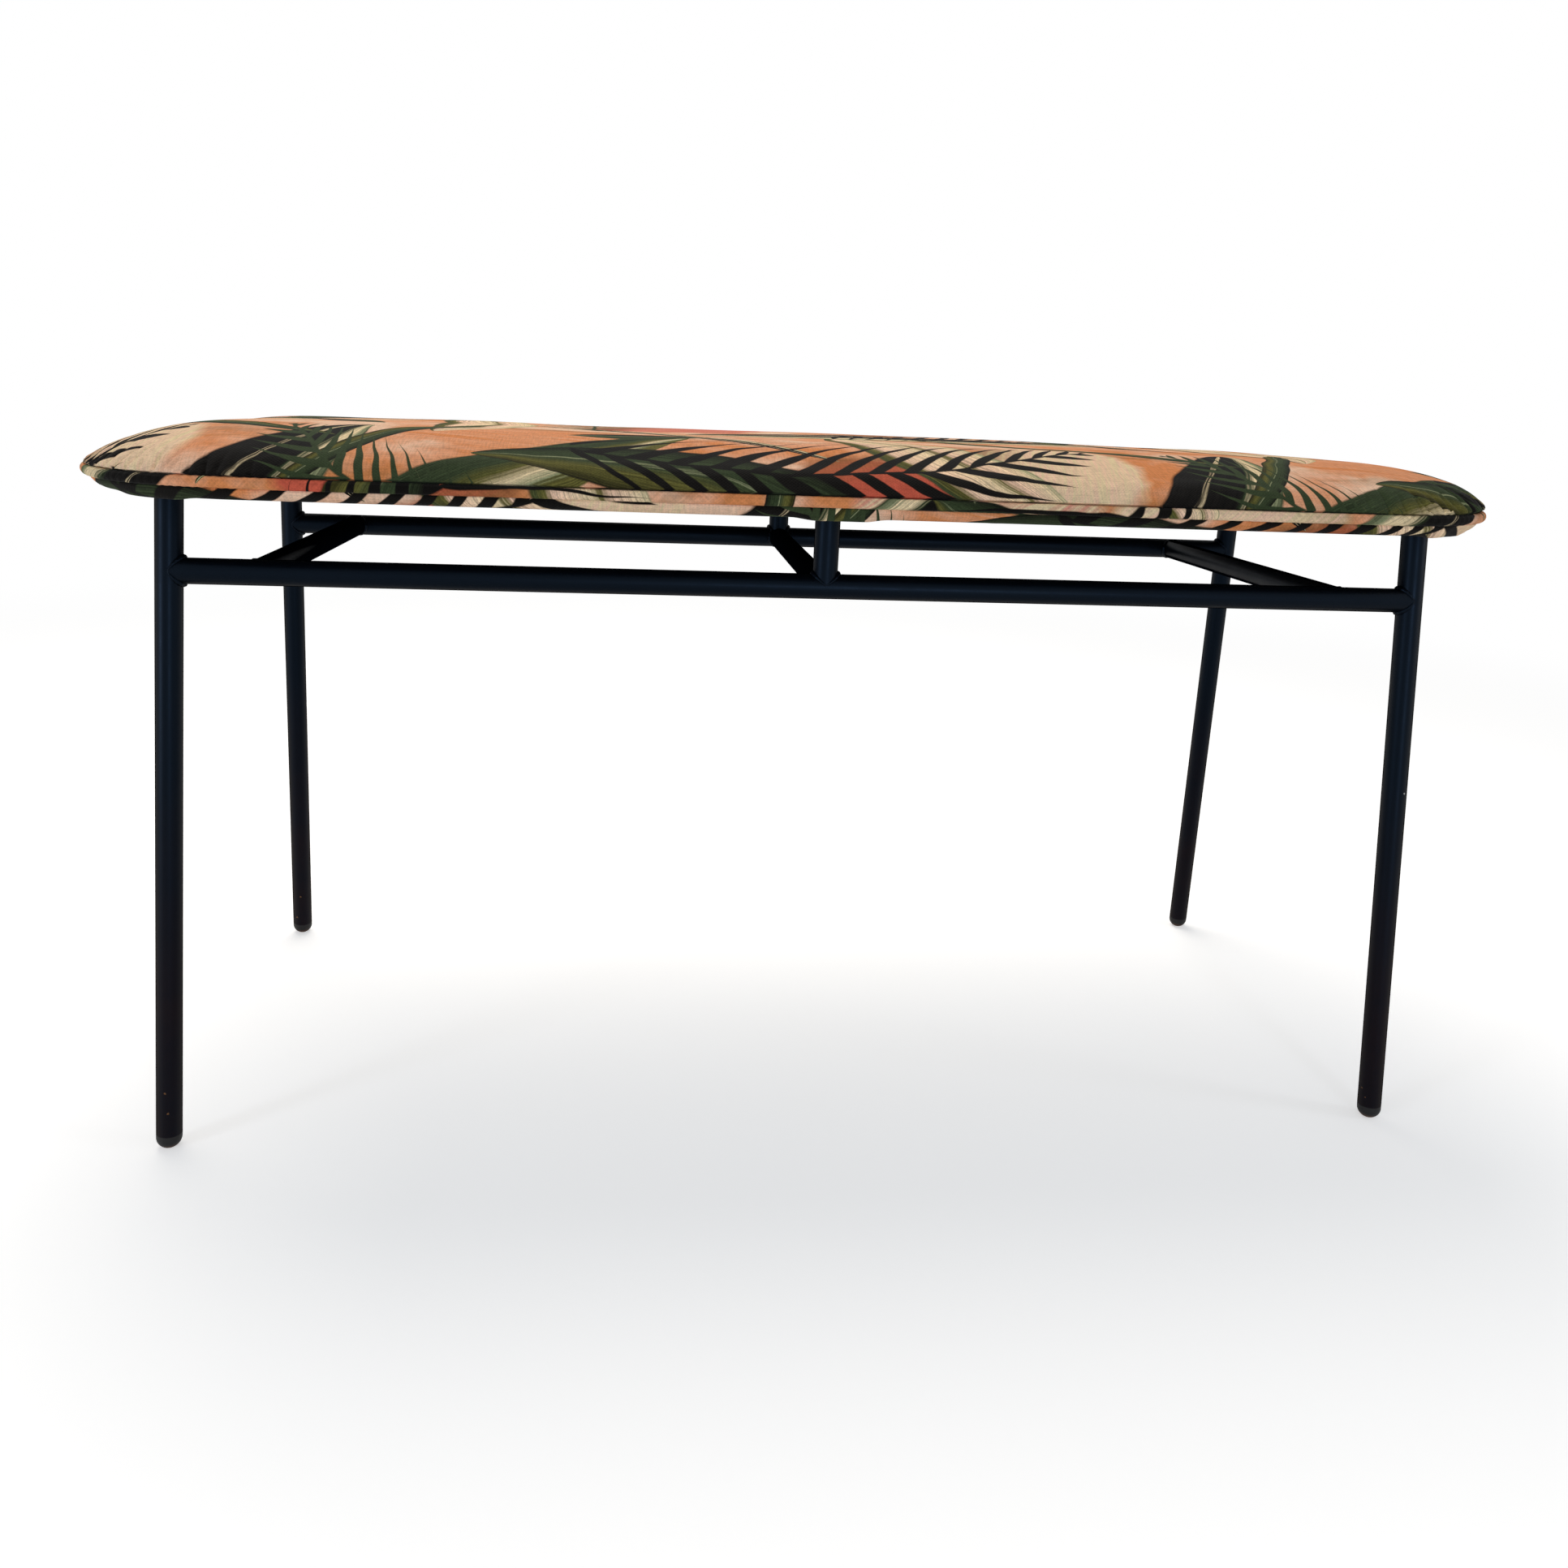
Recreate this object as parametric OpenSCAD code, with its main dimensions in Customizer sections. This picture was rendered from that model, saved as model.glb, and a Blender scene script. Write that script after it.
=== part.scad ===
// Upholstered bench: a splayed frame of round black tube under a piped, crowned seat.
// Origin on the floor under the middle of the seat, +X along the bench, +Y to the back, +Z up.

/* [Seat] */
// Length of the seat along the centre line of its piping
seat_l = 918; // [700:1:1200]
// Depth of the seat along the centre line of its piping
seat_w = 374; // [340:1:460]
// Corner radius of the seat at the centre line of its piping
seat_r = 122; // [100:1:150]
// Height of the crown above the piping's centre line
crown_h = 27; // [20:0.5:60]
// Distance in from the edge over which the crown rises
crown_in = 95; // [50:1:98]
// Roundness of the crown's shoulder
crown_power = 1.9; // [1.5:0.1:3]
// Extra rise of the flat of the crown towards its middle
crown_swell = 2; // [0.5:0.1:6]

/* [Board and layers] */
// Thickness of the plywood seat board
board_t = 9; // [9:0.5:18]
// Radius on the lower edge of the board
board_edge_r = 5; // [1:0.5:6]
// Thickness of the printed cloth
cloth_t = 1.2; // [0.8:0.1:2]
// Thickness of the wadding between foam and cloth
wadding_t = 5; // [3:0.5:10]
// Thickness of the dust cover under the board
dust_t = 0.5; // [0.4:0.1:1]
// Width of the cloth turned under the board
turn_under = 30; // [20:1:45]
// Distance from the board's edge to the dust cover's edge
dust_in = 12; // [6:1:16]

/* [Piping] */
// Outer diameter of the piping
piping_d = 7; // [5:0.5:9]
// Height of the piping's centre line above the top of the board
piping_lift = 0; // [0:0.5:3]

/* [Frame] */
// Height of the frame's top plane, where the seat bolts down
frame_h = 426.5; // [400:0.5:480]
// Distance from the frame's top plane down to the rails' and crossbars' centre lines
rail_drop = 47; // [30:0.5:90]
// Outer diameter of the steel tube
tube_d = 16; // [12:0.5:22]
// Wall thickness of the steel tube
tube_wall = 1.5; // [1:0.1:2.5]
// Distance from the piping in to the leg centre lines at the top plane, along the bench
overhang_l = 62; // [54:0.5:80]
// Distance from the piping in to the leg centre lines at the top plane, front to back
overhang_w = 58.5; // [52:0.5:70]
// Distance each leg splays out from its top to the floor, along the bench
splay_l = 28; // [0:0.5:50]
// Distance each leg splays out from its top to the floor, front to back
splay_w = 35.5; // [0:0.5:50]
// Distance from the legs' tops in to the end crossbars
end_bar_in = 49; // [30:1:200]

/* [Tabs and fasteners] */
// Thickness of the welded steel tabs
tab_t = 3; // [2:0.5:5]
// Width of the tabs
tab_w = 22; // [20:1:30]
// Distance from the tube's centre to the bolt's centre
tab_reach = 26; // [20:1:40]
// Nominal diameter of the seat bolts
bolt_d = 6; // [5:0.5:8]
// Diameter of the bolts' button heads
bolt_head_d = 11; // [10:0.5:14]
// Diameter of the tee nuts' flanges
nut_flange_d = 19; // [16:0.5:24]
// Spacing of the staples along the edge of the seat
staple_pitch = 42; // [25:1:80]
// Width of a staple's crown
staple_w = 10; // [6:0.5:13]

/* [Glides] */
// Height of the glides' collars below the ends of the tubes
glide_collar = 2.5; // [1:0.5:5]
// Length of the glides' stems inside the tubes
glide_stem = 18; // [10:1:30]
// Depth of the flat on the bottom of each dome
glide_flat = 0.5; // [0.3:0.1:1]

/* [Hidden] */
$fn = 64;

gap = 0.2;            // clearance between layers that lie on each other
seam_clear = 0.2;     // clearance between the piping and the cloth beside it
bore_clear = 0.1;     // radial clearance of the glide stems and tee nuts
thread_clear = 0.05;  // radial clearance of a bolt in its tee nut
hole_clear = 0.3;     // radial clearance of a bolt in its tab
past = 1;             // how far a cutting solid runs past what it cuts
tube_id = tube_d - 2 * tube_wall;
rail_h = frame_h - rail_drop;
top_span_l = seat_l - 2 * overhang_l;
top_span_w = seat_w - 2 * overhang_w;
end_bar_x = top_span_l / 2 - end_bar_in;
cope_back = 1;        // how far short of the next tube's centre line a coped end stops
seam_turn = 37;       // turn of a leg about its own axis, which keeps the tube's seam out of sight

// layers, from the top of the frame up
dust_z = frame_h;
turn_z = dust_z + dust_t;
board_z = turn_z + cloth_t;
board_top = board_z + board_t;
piping_z = board_top + piping_lift;

// distances in from the piping's centre line
cover_in = piping_d / 2 + seam_clear;
board_in = cover_in + cloth_t + gap;
cord_d = piping_d - 2 * cloth_t;

// how far a leg's centre line stands out from the middle at height z
function leg_x(z) = top_span_l / 2 + splay_l * (1 - z / frame_h);
function leg_y(z) = top_span_w / 2 + splay_w * (1 - z / frame_h);
function leg_point(sx, sy, z) = [sx * leg_x(z), sy * leg_y(z), z];

dome_z = tube_d / 2 - glide_flat;   // height of the domes' centres
tab_z = frame_h - tab_t;            // underside of the tabs
rail_x = leg_x(rail_h);
rail_y = leg_y(rail_h);
function post_point(sy, z) = [0, sy * rail_y, z];

// the six places where the seat bolts down, as [side, end, distance of the tube from the middle]
BOLT_SPOTS = [for (sx = [-1, 0, 1], sy = [-1, 1]) [sx, sy]];
function tab_root(spot) = [spot[0] * leg_x(tab_z), spot[1] * (spot[0] == 0 ? rail_y : leg_y(tab_z))];
function bolt_xy(spot) = tab_root(spot) - [0, spot[1] * tab_reach];

nut_flange_t = 1.5;
nut_barrel_d = bolt_d + 2;
prong_size = [1, 3, 5];             // thickness, width and length of a tee nut's prong
bolt_head_h = 3.3;
bolt_tip = board_top - 2;           // height of the bolts' ends
socket_af = 4;                      // width across the flats of the bolts' sockets
socket_deep = 2;
staple_wire = [1.2, 0.6];           // width and thickness of the staple wire
staple_leg = 8;
staple_in = 20;                     // distance from the board's edge to the staples

// Places children so that their +Z runs from point a towards point b.
module along(a, b) {
    v = b - a;
    translate(a)
        rotate([0, acos(v[2] / norm(v)), atan2(v[1], v[0])])
            children();
}

// A round bar of the tube's outer size from a to b.
module bar_solid(a, b) {
    along(a, b)
        cylinder(d = tube_d, h = norm(b - a));
}

// A piece of tube from a to b.
module tube(a, b) {
    along(a, b)
        difference() {
            cylinder(d = tube_d, h = norm(b - a));
            translate([0, 0, -past])
                cylinder(d = tube_id, h = norm(b - a) + 2 * past);
        }
}

module leg_solid(sx, sy) {
    bar_solid(leg_point(sx, sy, 0), leg_point(sx, sy, frame_h));
}

module rail_solid(sy) {
    bar_solid([-rail_x, sy * rail_y, rail_h], [rail_x, sy * rail_y, rail_h]);
}

module post_solid(sy) {
    bar_solid(post_point(sy, rail_h), post_point(sy, frame_h));
}

// Everything above the underside of the tabs.
module above_tabs() {
    translate([-seat_l / 2, -seat_w / 2, tab_z])
        cube([seat_l, seat_w, tube_d * 2]);
}

// Mirrors what is made for the front right corner to the corner [sx, sy].
module to_corner(sx, sy) {
    mirror([sx < 0 ? 1 : 0, 0, 0])
        mirror([0, sy > 0 ? 1 : 0, 0])
            children();
}

// Leg: tube cut level under its tab and square above its glide.
module leg(sx, sy) {
    color("#16181b")
        to_corner(sx, sy)
            difference() {
                along(leg_point(1, -1, dome_z), leg_point(1, -1, frame_h + tube_d))
                    rotate([0, 0, seam_turn])
                        translate([0, 0, glide_collar])
                            difference() {
                                cylinder(d = tube_d, h = frame_h);
                                translate([0, 0, -past])
                                    cylinder(d = tube_id, h = frame_h + 2 * past);
                            }
                above_tabs();
            }
}

// Long rail, coped to the legs at both ends.
module rail(sy) {
    color("#16181b")
        difference() {
            tube(
                [-rail_x + cope_back, sy * rail_y, rail_h],
                [rail_x - cope_back, sy * rail_y, rail_h]
            );
            for (sx = [-1, 1])
                leg_solid(sx, sy);
        }
}

// Crossbar, coped to the two long rails and, in the middle, to the posts as well.
module crossbar(x) {
    color("#16181b")
        difference() {
            tube([x, -rail_y + cope_back, rail_h], [x, rail_y - cope_back, rail_h]);
            for (sy = [-1, 1]) {
                rail_solid(sy);
                if (x == 0)
                    post_solid(sy);
            }
        }
}

// Middle post, coped to its rail and cut level under its tab.
module post(sy) {
    color("#16181b")
        difference() {
            tube(post_point(sy, rail_h + cope_back), post_point(sy, frame_h + tube_d));
            rail_solid(sy);
            above_tabs();
        }
}

// Tab: flat plate welded across the top of a tube, pierced for a seat bolt.
module tab(spot) {
    color("#16181b")
        translate([tab_root(spot)[0], tab_root(spot)[1], tab_z])
            mirror([0, spot[1] > 0 ? 1 : 0, 0])
                difference() {
                    union() {
                        cylinder(d = tab_w, h = tab_t);
                        translate([-tab_w / 2, 0, 0])
                            cube([tab_w, tab_reach, tab_t]);
                        translate([0, tab_reach, 0])
                            cylinder(d = tab_w, h = tab_t);
                    }
                    translate([0, tab_reach, -past])
                        cylinder(r = bolt_d / 2 + hole_clear, h = tab_t + 2 * past);
                }
}

// Glide: moulded dome flush with the tube, on a barbed stem pressed up inside it.
module glide(sx, sy) {
    barb = [0.35, 0.65, 0.95];
    stem_r = tube_id / 2 - bore_clear;
    core_r = stem_r - 0.8;
    color("#101113")
        difference() {
            along(leg_point(sx, sy, dome_z), leg_point(sx, sy, frame_h)) {
                difference() {
                    sphere(d = tube_d);
                    cylinder(d = tube_d + 2 * past, h = tube_d);
                }
                cylinder(d = tube_d, h = glide_collar);
                cylinder(r = core_r, h = glide_collar + glide_stem);
                for (share = barb)
                    translate([0, 0, glide_collar + share * glide_stem - 2])
                        cylinder(r1 = stem_r, r2 = core_r, h = 2);
            }
            translate([sx * leg_x(0) - tube_d, sy * leg_y(0) - tube_d, -tube_d])
                cube([2 * tube_d, 2 * tube_d, tube_d]);
        }
}

// Outline of the seat, a given distance in from the piping's centre line.
module outline(inset) {
    r = seat_r - inset;
    x = seat_l / 2 - seat_r;
    y = seat_w / 2 - seat_r;
    square([2 * x, 2 * (y + r)], center = true);
    square([2 * (x + r), 2 * y], center = true);
    for (sx = [-1, 1], sy = [-1, 1])
        translate([sx * x, sy * y])
            circle(r = r);
}

// Sweeps a profile round the seat's edge. In the profile, x is the distance in from the
// piping's centre line and y is the height.
module around_edge() {
    x = seat_l / 2 - seat_r;
    y = seat_w / 2 - seat_r;
    for (turn = [0, 180])
        rotate([0, 0, turn]) {
            translate([x, y, 0])
                rotate_extrude(angle = 90)
                    translate([seat_r, 0])
                        mirror([1, 0])
                            children();
            translate([-x, y, 0])
                rotate([0, 0, 90])
                    rotate_extrude(angle = 90)
                        translate([seat_r, 0])
                            mirror([1, 0])
                                children();
            translate([x, y + seat_r, 0])
                rotate([90, 0, -90])
                    linear_extrude(2 * x)
                        children();
            translate([x + seat_r, -y, 0])
                rotate([90, 0, 180])
                    linear_extrude(2 * y)
                        children();
        }
}

// One point of the crown. A is the plan position round the edge, d the distance in.
function crown_rise(d, h) =
    let (s = min(d / crown_in, 1), m = min(d / (seat_w / 2), 1))
        h * pow(1 - pow(1 - s, crown_power), 1 / crown_power)
        + crown_swell * (1 - pow(1 - m, 2));

corner_steps = 7;
ring_size = 4 * (corner_steps + 1);

// Ring of points round the seat at distance d in, at height z.
function ring(d, z) =
    let (
        r = max(seat_r - d, 0.5),
        x = seat_l / 2 - d - r,
        y = max(seat_w / 2 - d - r, 0.1)
    )
        [for (q = [0:3], i = [0:corner_steps])
            let (a = 90 * q + 90 * i / corner_steps, sx = (q == 0 || q == 3) ? 1 : -1, sy = q < 2 ? 1 : -1)
                [sx * x + r * cos(a), sy * y + r * sin(a), z]];

ring_steps = 12;
// Distances in of the rings, close together at the steep edge and reaching the middle.
function ring_in(start) =
    [for (i = [0:ring_steps]) start + (crown_in - start) * pow(i / ring_steps, 2.2)];
function full_ring_in(start) = concat(ring_in(start), [crown_in + 45, seat_w / 2 - 1]);

// Rings of a domed surface that starts a distance in, at height base, and rises by h.
function dome_rings(start, base, h) =
    [for (d = full_ring_in(start)) ring(d, base + crown_rise(d - start, h))];

// Triangles between neighbouring rings, and a fan that closes the last one.
function band_faces(rings, first, flip) =
    [for (k = [0:rings - 2], i = [0:ring_size - 1], half = [0, 1])
        let (
            j = (i + 1) % ring_size,
            a = first + k * ring_size + i,
            b = first + k * ring_size + j,
            c = first + (k + 1) * ring_size + j,
            d = first + (k + 1) * ring_size + i,
            f = half == 0 ? [a, c, b] : [a, d, c]
        )
            flip ? [f[2], f[1], f[0]] : f];
function cap_faces(first, flip) =
    [for (i = [1:ring_size - 2])
        flip ? [first, first + i, first + i + 1] : [first + i + 1, first + i, first]];

// Domed solid with a flat underside.
module dome(start, base, h) {
    rings = dome_rings(start, base, h);
    n = len(rings);
    polyhedron(
        points = [for (r = rings) each r],
        faces = concat(band_faces(n, 0, false), cap_faces(0, true), cap_faces((n - 1) * ring_size, false))
    );
}

// Domed shell: the space between two domes that share a level rim.
module dome_shell(start, base, h, t) {
    outer = dome_rings(start, base, h);
    inner = dome_rings(start + t, base, h - t);
    n = len(outer);
    m = n * ring_size;
    rim = [for (i = [0:ring_size - 1], half = [0, 1])
        let (j = (i + 1) % ring_size)
            half == 0 ? [i, j, m + j] : [i, m + j, m + i]];
    polyhedron(
        points = [for (r = concat(outer, inner)) each r],
        faces = concat(
            band_faces(n, 0, false), cap_faces((n - 1) * ring_size, false),
            band_faces(n, m, true), cap_faces(m + (n - 1) * ring_size, true),
            rim
        )
    );
}

// Cover: the printed cloth drawn over the crown and sewn to the piping.
module top_cover() {
    color("#d99a78")
        dome_shell(cover_in, piping_z, crown_h, cloth_t);
}

wadding_in = cover_in + cloth_t + gap;
wadding_z = board_top;
wadding_h = crown_h - cloth_t - gap - (wadding_z - piping_z);

// Wadding: soft layer between the foam and the cloth.
module wadding() {
    color("#efece4")
        dome_shell(wadding_in, wadding_z, wadding_h, wadding_t);
}

// Foam pad, cut to a crown.
module foam_pad() {
    color("#e6d9a8")
        dome(wadding_in + wadding_t + gap, wadding_z, wadding_h - wadding_t - gap);
}

// Seat board: plywood with an eased lower edge, drilled and pronged for the tee nuts.
module seat_board() {
    color("#c9a878")
        difference() {
            union() {
                translate([0, 0, board_z + board_edge_r])
                    linear_extrude(board_t - board_edge_r)
                        outline(board_in);
                translate([0, 0, board_z])
                    linear_extrude(board_edge_r)
                        outline(board_in + board_edge_r);
                translate([0, 0, board_z + board_edge_r])
                    around_edge()
                        translate([board_in + board_edge_r, 0])
                            intersection() {
                                circle(r = board_edge_r);
                                translate([-board_edge_r, -board_edge_r])
                                    square(board_edge_r);
                            }
            }
            for (spot = BOLT_SPOTS)
                translate([bolt_xy(spot)[0], bolt_xy(spot)[1], 0]) {
                    translate([0, 0, board_z - past])
                        cylinder(r = nut_barrel_d / 2 + bore_clear, h = board_t + 2 * past);
                    translate([0, 0, board_top - nut_flange_t])
                        cylinder(r = nut_flange_d / 2 + bore_clear, h = nut_flange_t + past);
                    prongs(bore_clear);
                }
        }
}

// The four prongs of a tee nut, grown by a clearance.
module prongs(grow) {
    for (turn = [0:90:270])
        rotate([0, 0, turn])
            translate([
                nut_flange_d / 2 - prong_size[0] - grow,
                -prong_size[1] / 2 - grow,
                board_top - nut_flange_t - prong_size[2] - grow
            ])
                cube([
                    prong_size[0] + 2 * grow,
                    prong_size[1] + 2 * grow,
                    prong_size[2] + grow
                ]);
}

// Tee nuts, let into the top of the board.
module tee_nuts() {
    barrel = board_t - 2;
    color("#b9bcc0")
        for (spot = BOLT_SPOTS)
            translate([bolt_xy(spot)[0], bolt_xy(spot)[1], 0])
                difference() {
                    union() {
                        translate([0, 0, board_top - nut_flange_t])
                            cylinder(d = nut_flange_d, h = nut_flange_t);
                        translate([0, 0, board_top - barrel])
                            cylinder(d = nut_barrel_d, h = barrel);
                        prongs(0);
                    }
                    translate([0, 0, board_z])
                        cylinder(r = bolt_d / 2 + thread_clear, h = board_t + past);
                }
}

// Seat bolts: button heads under the tabs, with hexagon sockets.
module seat_bolts() {
    color("#2a2b2e")
        for (spot = BOLT_SPOTS)
            translate([bolt_xy(spot)[0], bolt_xy(spot)[1], 0])
                difference() {
                    union() {
                        translate([0, 0, tab_z - bolt_head_h])
                            cylinder(d1 = bolt_head_d * 0.6, d2 = bolt_head_d, h = bolt_head_h);
                        translate([0, 0, tab_z])
                            cylinder(d = bolt_d, h = bolt_tip - tab_z);
                    }
                    translate([0, 0, tab_z - bolt_head_h - past])
                        cylinder(d = socket_af / cos(30), h = socket_deep + past, $fn = 6);
                }
}

// Piping: cloth sewn round a cord, following the edge of the seat.
module piping_cover() {
    color("#cf9f80")
        translate([0, 0, piping_z])
            around_edge()
                difference() {
                    circle(d = piping_d);
                    circle(d = cord_d + gap);
                }
}

module welt_cord() {
    color("#f2efe6")
        translate([0, 0, piping_z])
            around_edge()
                circle(d = cord_d);
}

// Border band: cloth from the piping down the board's edge and turned under it.
module border_band() {
    top = piping_z - gap;
    bend = board_edge_r + cloth_t;
    wall_in = cover_in;
    color("#4c5a45")
        around_edge() {
            translate([wall_in, turn_z + bend])
                square([cloth_t, top - turn_z - bend]);
            translate([wall_in + bend, turn_z])
                square([turn_under - bend, cloth_t]);
            translate([wall_in + bend, turn_z + bend])
                intersection() {
                    difference() {
                        circle(r = bend);
                        circle(r = board_edge_r);
                    }
                    translate([-bend, -bend])
                        square(bend);
                }
        }
}

// Dust cover: black cloth over the underside, holed for the bolts.
module dust_cover() {
    color("#1b1b1d")
        translate([0, 0, dust_z])
            difference() {
                linear_extrude(dust_t)
                    outline(board_in + dust_in);
                for (spot = BOLT_SPOTS)
                    translate([bolt_xy(spot)[0], bolt_xy(spot)[1], -past])
                        cylinder(r = bolt_d / 2 + hole_clear, h = dust_t + 2 * past);
            }
}

// One staple, its crown flat against the dust cover and its legs pointing up.
module staple() {
    translate([0, staple_wire[0] / 2, dust_z - staple_wire[1]])
        rotate([90, 0, 0])
            linear_extrude(staple_wire[0])
                difference() {
                    translate([-staple_w / 2, 0])
                        square([staple_w, staple_leg]);
                    translate([-staple_w / 2 + staple_wire[1], staple_wire[1]])
                        square([staple_w - 2 * staple_wire[1], staple_leg]);
                }
}

// Staples round the edge of the dust cover, evenly spaced on each straight and corner.
module staples() {
    inset = board_in + staple_in;
    r = seat_r - inset;
    x = seat_l / 2 - seat_r;
    y = seat_w / 2 - seat_r;
    long_count = floor(2 * x / staple_pitch);
    short_count = max(floor(2 * y / staple_pitch), 1);
    corner_count = max(round(r * PI / 2 / staple_pitch), 1);
    color("#a7a9ac")
        for (turn = [0, 180])
            rotate([0, 0, turn]) {
                for (i = [0:long_count - 1])
                    translate([-x + 2 * x * (i + 0.5) / long_count, y + r, 0])
                        staple();
                for (i = [0:short_count - 1])
                    translate([x + r, -y + 2 * y * (i + 0.5) / short_count, 0])
                        rotate([0, 0, 90])
                            staple();
                for (sx = [-1, 1], i = [0:corner_count - 1])
                    translate([sx * x, y, 0])
                        rotate([0, 0, -sx * 90 * (i + 0.5) / corner_count])
                            translate([0, r, 0])
                                staple();
            }
}

leg(-1, -1);  // leg_front_left
leg(1, -1);  // leg_front_right
leg(-1, 1);  // leg_back_left
leg(1, 1);  // leg_back_right
rail(-1);  // rail_front
rail(1);  // rail_back
crossbar(-end_bar_x);  // crossbar_left
crossbar(0);  // crossbar_middle
crossbar(end_bar_x);  // crossbar_right
post(-1);  // post_front
post(1);  // post_back
tab([-1, -1]);  // tab_front_left
tab([1, -1]);  // tab_front_right
tab([-1, 1]);  // tab_back_left
tab([1, 1]);  // tab_back_right
tab([0, -1]);  // tab_front_middle
tab([0, 1]);  // tab_back_middle
glide(-1, -1);  // glide_front_left
glide(1, -1);  // glide_front_right
glide(-1, 1);  // glide_back_left
glide(1, 1);  // glide_back_right
seat_board();
foam_pad();
wadding();
top_cover();
piping_cover();
welt_cord();
border_band();
dust_cover();
tee_nuts();
seat_bolts();
staples();
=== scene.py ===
import math
import random

import bpy
from mathutils import Matrix, Vector, noise


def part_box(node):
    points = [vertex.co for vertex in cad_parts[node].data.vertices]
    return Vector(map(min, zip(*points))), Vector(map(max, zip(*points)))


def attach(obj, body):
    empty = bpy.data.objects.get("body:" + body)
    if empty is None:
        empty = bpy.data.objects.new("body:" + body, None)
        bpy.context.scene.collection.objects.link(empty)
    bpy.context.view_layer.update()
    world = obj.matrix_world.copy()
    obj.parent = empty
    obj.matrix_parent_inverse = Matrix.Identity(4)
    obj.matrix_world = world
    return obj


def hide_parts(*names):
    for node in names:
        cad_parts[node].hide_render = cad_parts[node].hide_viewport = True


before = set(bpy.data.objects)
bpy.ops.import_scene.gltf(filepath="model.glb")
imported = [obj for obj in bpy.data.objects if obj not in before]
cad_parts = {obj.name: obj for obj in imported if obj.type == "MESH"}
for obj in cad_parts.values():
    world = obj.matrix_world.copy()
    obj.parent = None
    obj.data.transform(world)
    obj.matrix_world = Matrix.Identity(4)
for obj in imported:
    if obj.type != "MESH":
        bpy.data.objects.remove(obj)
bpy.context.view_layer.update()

# Camera, where the photograph was taken from: standing close, looking a little down
# and a little to the right, and tilted by two degrees.
CAMERA_AT = Vector((-0.1188, -0.8784, 0.4962))
CAMERA_TURN = 0.112
CAMERA_DOWN = 0.285
CAMERA_TILT = 0.042
ahead = Vector((
    math.sin(CAMERA_TURN) * math.cos(CAMERA_DOWN),
    math.cos(CAMERA_TURN) * math.cos(CAMERA_DOWN),
    -math.sin(CAMERA_DOWN),
))
level = Vector((math.cos(CAMERA_TURN), -math.sin(CAMERA_TURN), 0))
above = level.cross(ahead)
right = math.cos(CAMERA_TILT) * level + math.sin(CAMERA_TILT) * above
up = math.cos(CAMERA_TILT) * above - math.sin(CAMERA_TILT) * level
bpy.ops.object.camera_add()
camera = bpy.context.object
camera.matrix_world = Matrix.Translation(CAMERA_AT) @ Matrix((right, up, -ahead)).transposed().to_4x4()
camera.data.sensor_width = 36
camera.data.lens = 27.16
camera.data.shift_x = 0.0130
camera.data.shift_y = -0.0277
bpy.context.scene.camera = camera
bpy.context.scene.view_settings.view_transform = "Standard"


def colour(hex_code):
    """An sRGB hex colour as linear red, green, blue and alpha."""
    parts = [int(hex_code[i:i + 2], 16) / 255 for i in (1, 3, 5)]
    return [p / 12.92 if p <= 0.04045 else ((p + 0.055) / 1.055) ** 2.4 for p in parts] + [1]


def add_node(tree, kind, inputs=None, **settings):
    """Adds a node, sets it up, and sets or links its inputs."""
    made = tree.nodes.new(kind)
    for name, value in settings.items():
        setattr(made, name, value)
    for key, value in (inputs or {}).items():
        if isinstance(value, bpy.types.NodeSocket):
            tree.links.new(value, made.inputs[key])
        else:
            made.inputs[key].default_value = value
    return made


def maths(tree, operation, *values, **settings):
    """The result of a math node."""
    return add_node(tree, "ShaderNodeMath", dict(enumerate(values)), operation=operation, **settings).outputs[0]


def vector_maths(tree, operation, *values):
    """The vector that a vector math node gives."""
    return add_node(tree, "ShaderNodeVectorMath", dict(enumerate(values)), operation=operation).outputs[0]


def remap(tree, value, low, high, to_low=0, to_high=1):
    """A value mapped from one range to another, and kept inside it."""
    return add_node(tree, "ShaderNodeMapRange", {0: value, 1: low, 2: high, 3: to_low, 4: to_high}).outputs[0]


def give_surface(tree, out, inputs):
    """Adds a material's shader and links it to the output."""
    tree.links.new(add_node(tree, "ShaderNodeBsdfPrincipled", inputs).outputs[0], out.inputs["Surface"])


def new_material(name):
    """An empty material: the material, its tree and its output node."""
    made = bpy.data.materials.new(name)
    made.use_nodes = True
    made.node_tree.nodes.clear()
    return made, made.node_tree, add_node(made.node_tree, "ShaderNodeOutputMaterial")


# Stage: a matt pale floor that fades to white with distance, under soft studio light
# from above, from the front and its left, and from the right.
bpy.ops.mesh.primitive_circle_add(vertices=96, radius=12, fill_type="NGON")
floor = bpy.context.object
floor.name = "floor"
floor_paint, tree, out = new_material("matt_floor")
place = add_node(tree, "ShaderNodeTexCoord").outputs["Object"]
distance = add_node(tree, "ShaderNodeVectorMath", {0: place}, operation="LENGTH").outputs["Value"]
fade = add_node(tree, "ShaderNodeMapRange", {0: distance, 1: 0.8, 2: 2.6}, interpolation_type="SMOOTHSTEP")
rays = add_node(tree, "ShaderNodeLightPath")
seen = maths(tree, "MAXIMUM", rays.outputs["Is Camera Ray"], rays.outputs["Is Glossy Ray"])
matt = add_node(tree, "ShaderNodeBsdfDiffuse", {"Color": colour("#f6f5f3")})
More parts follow.
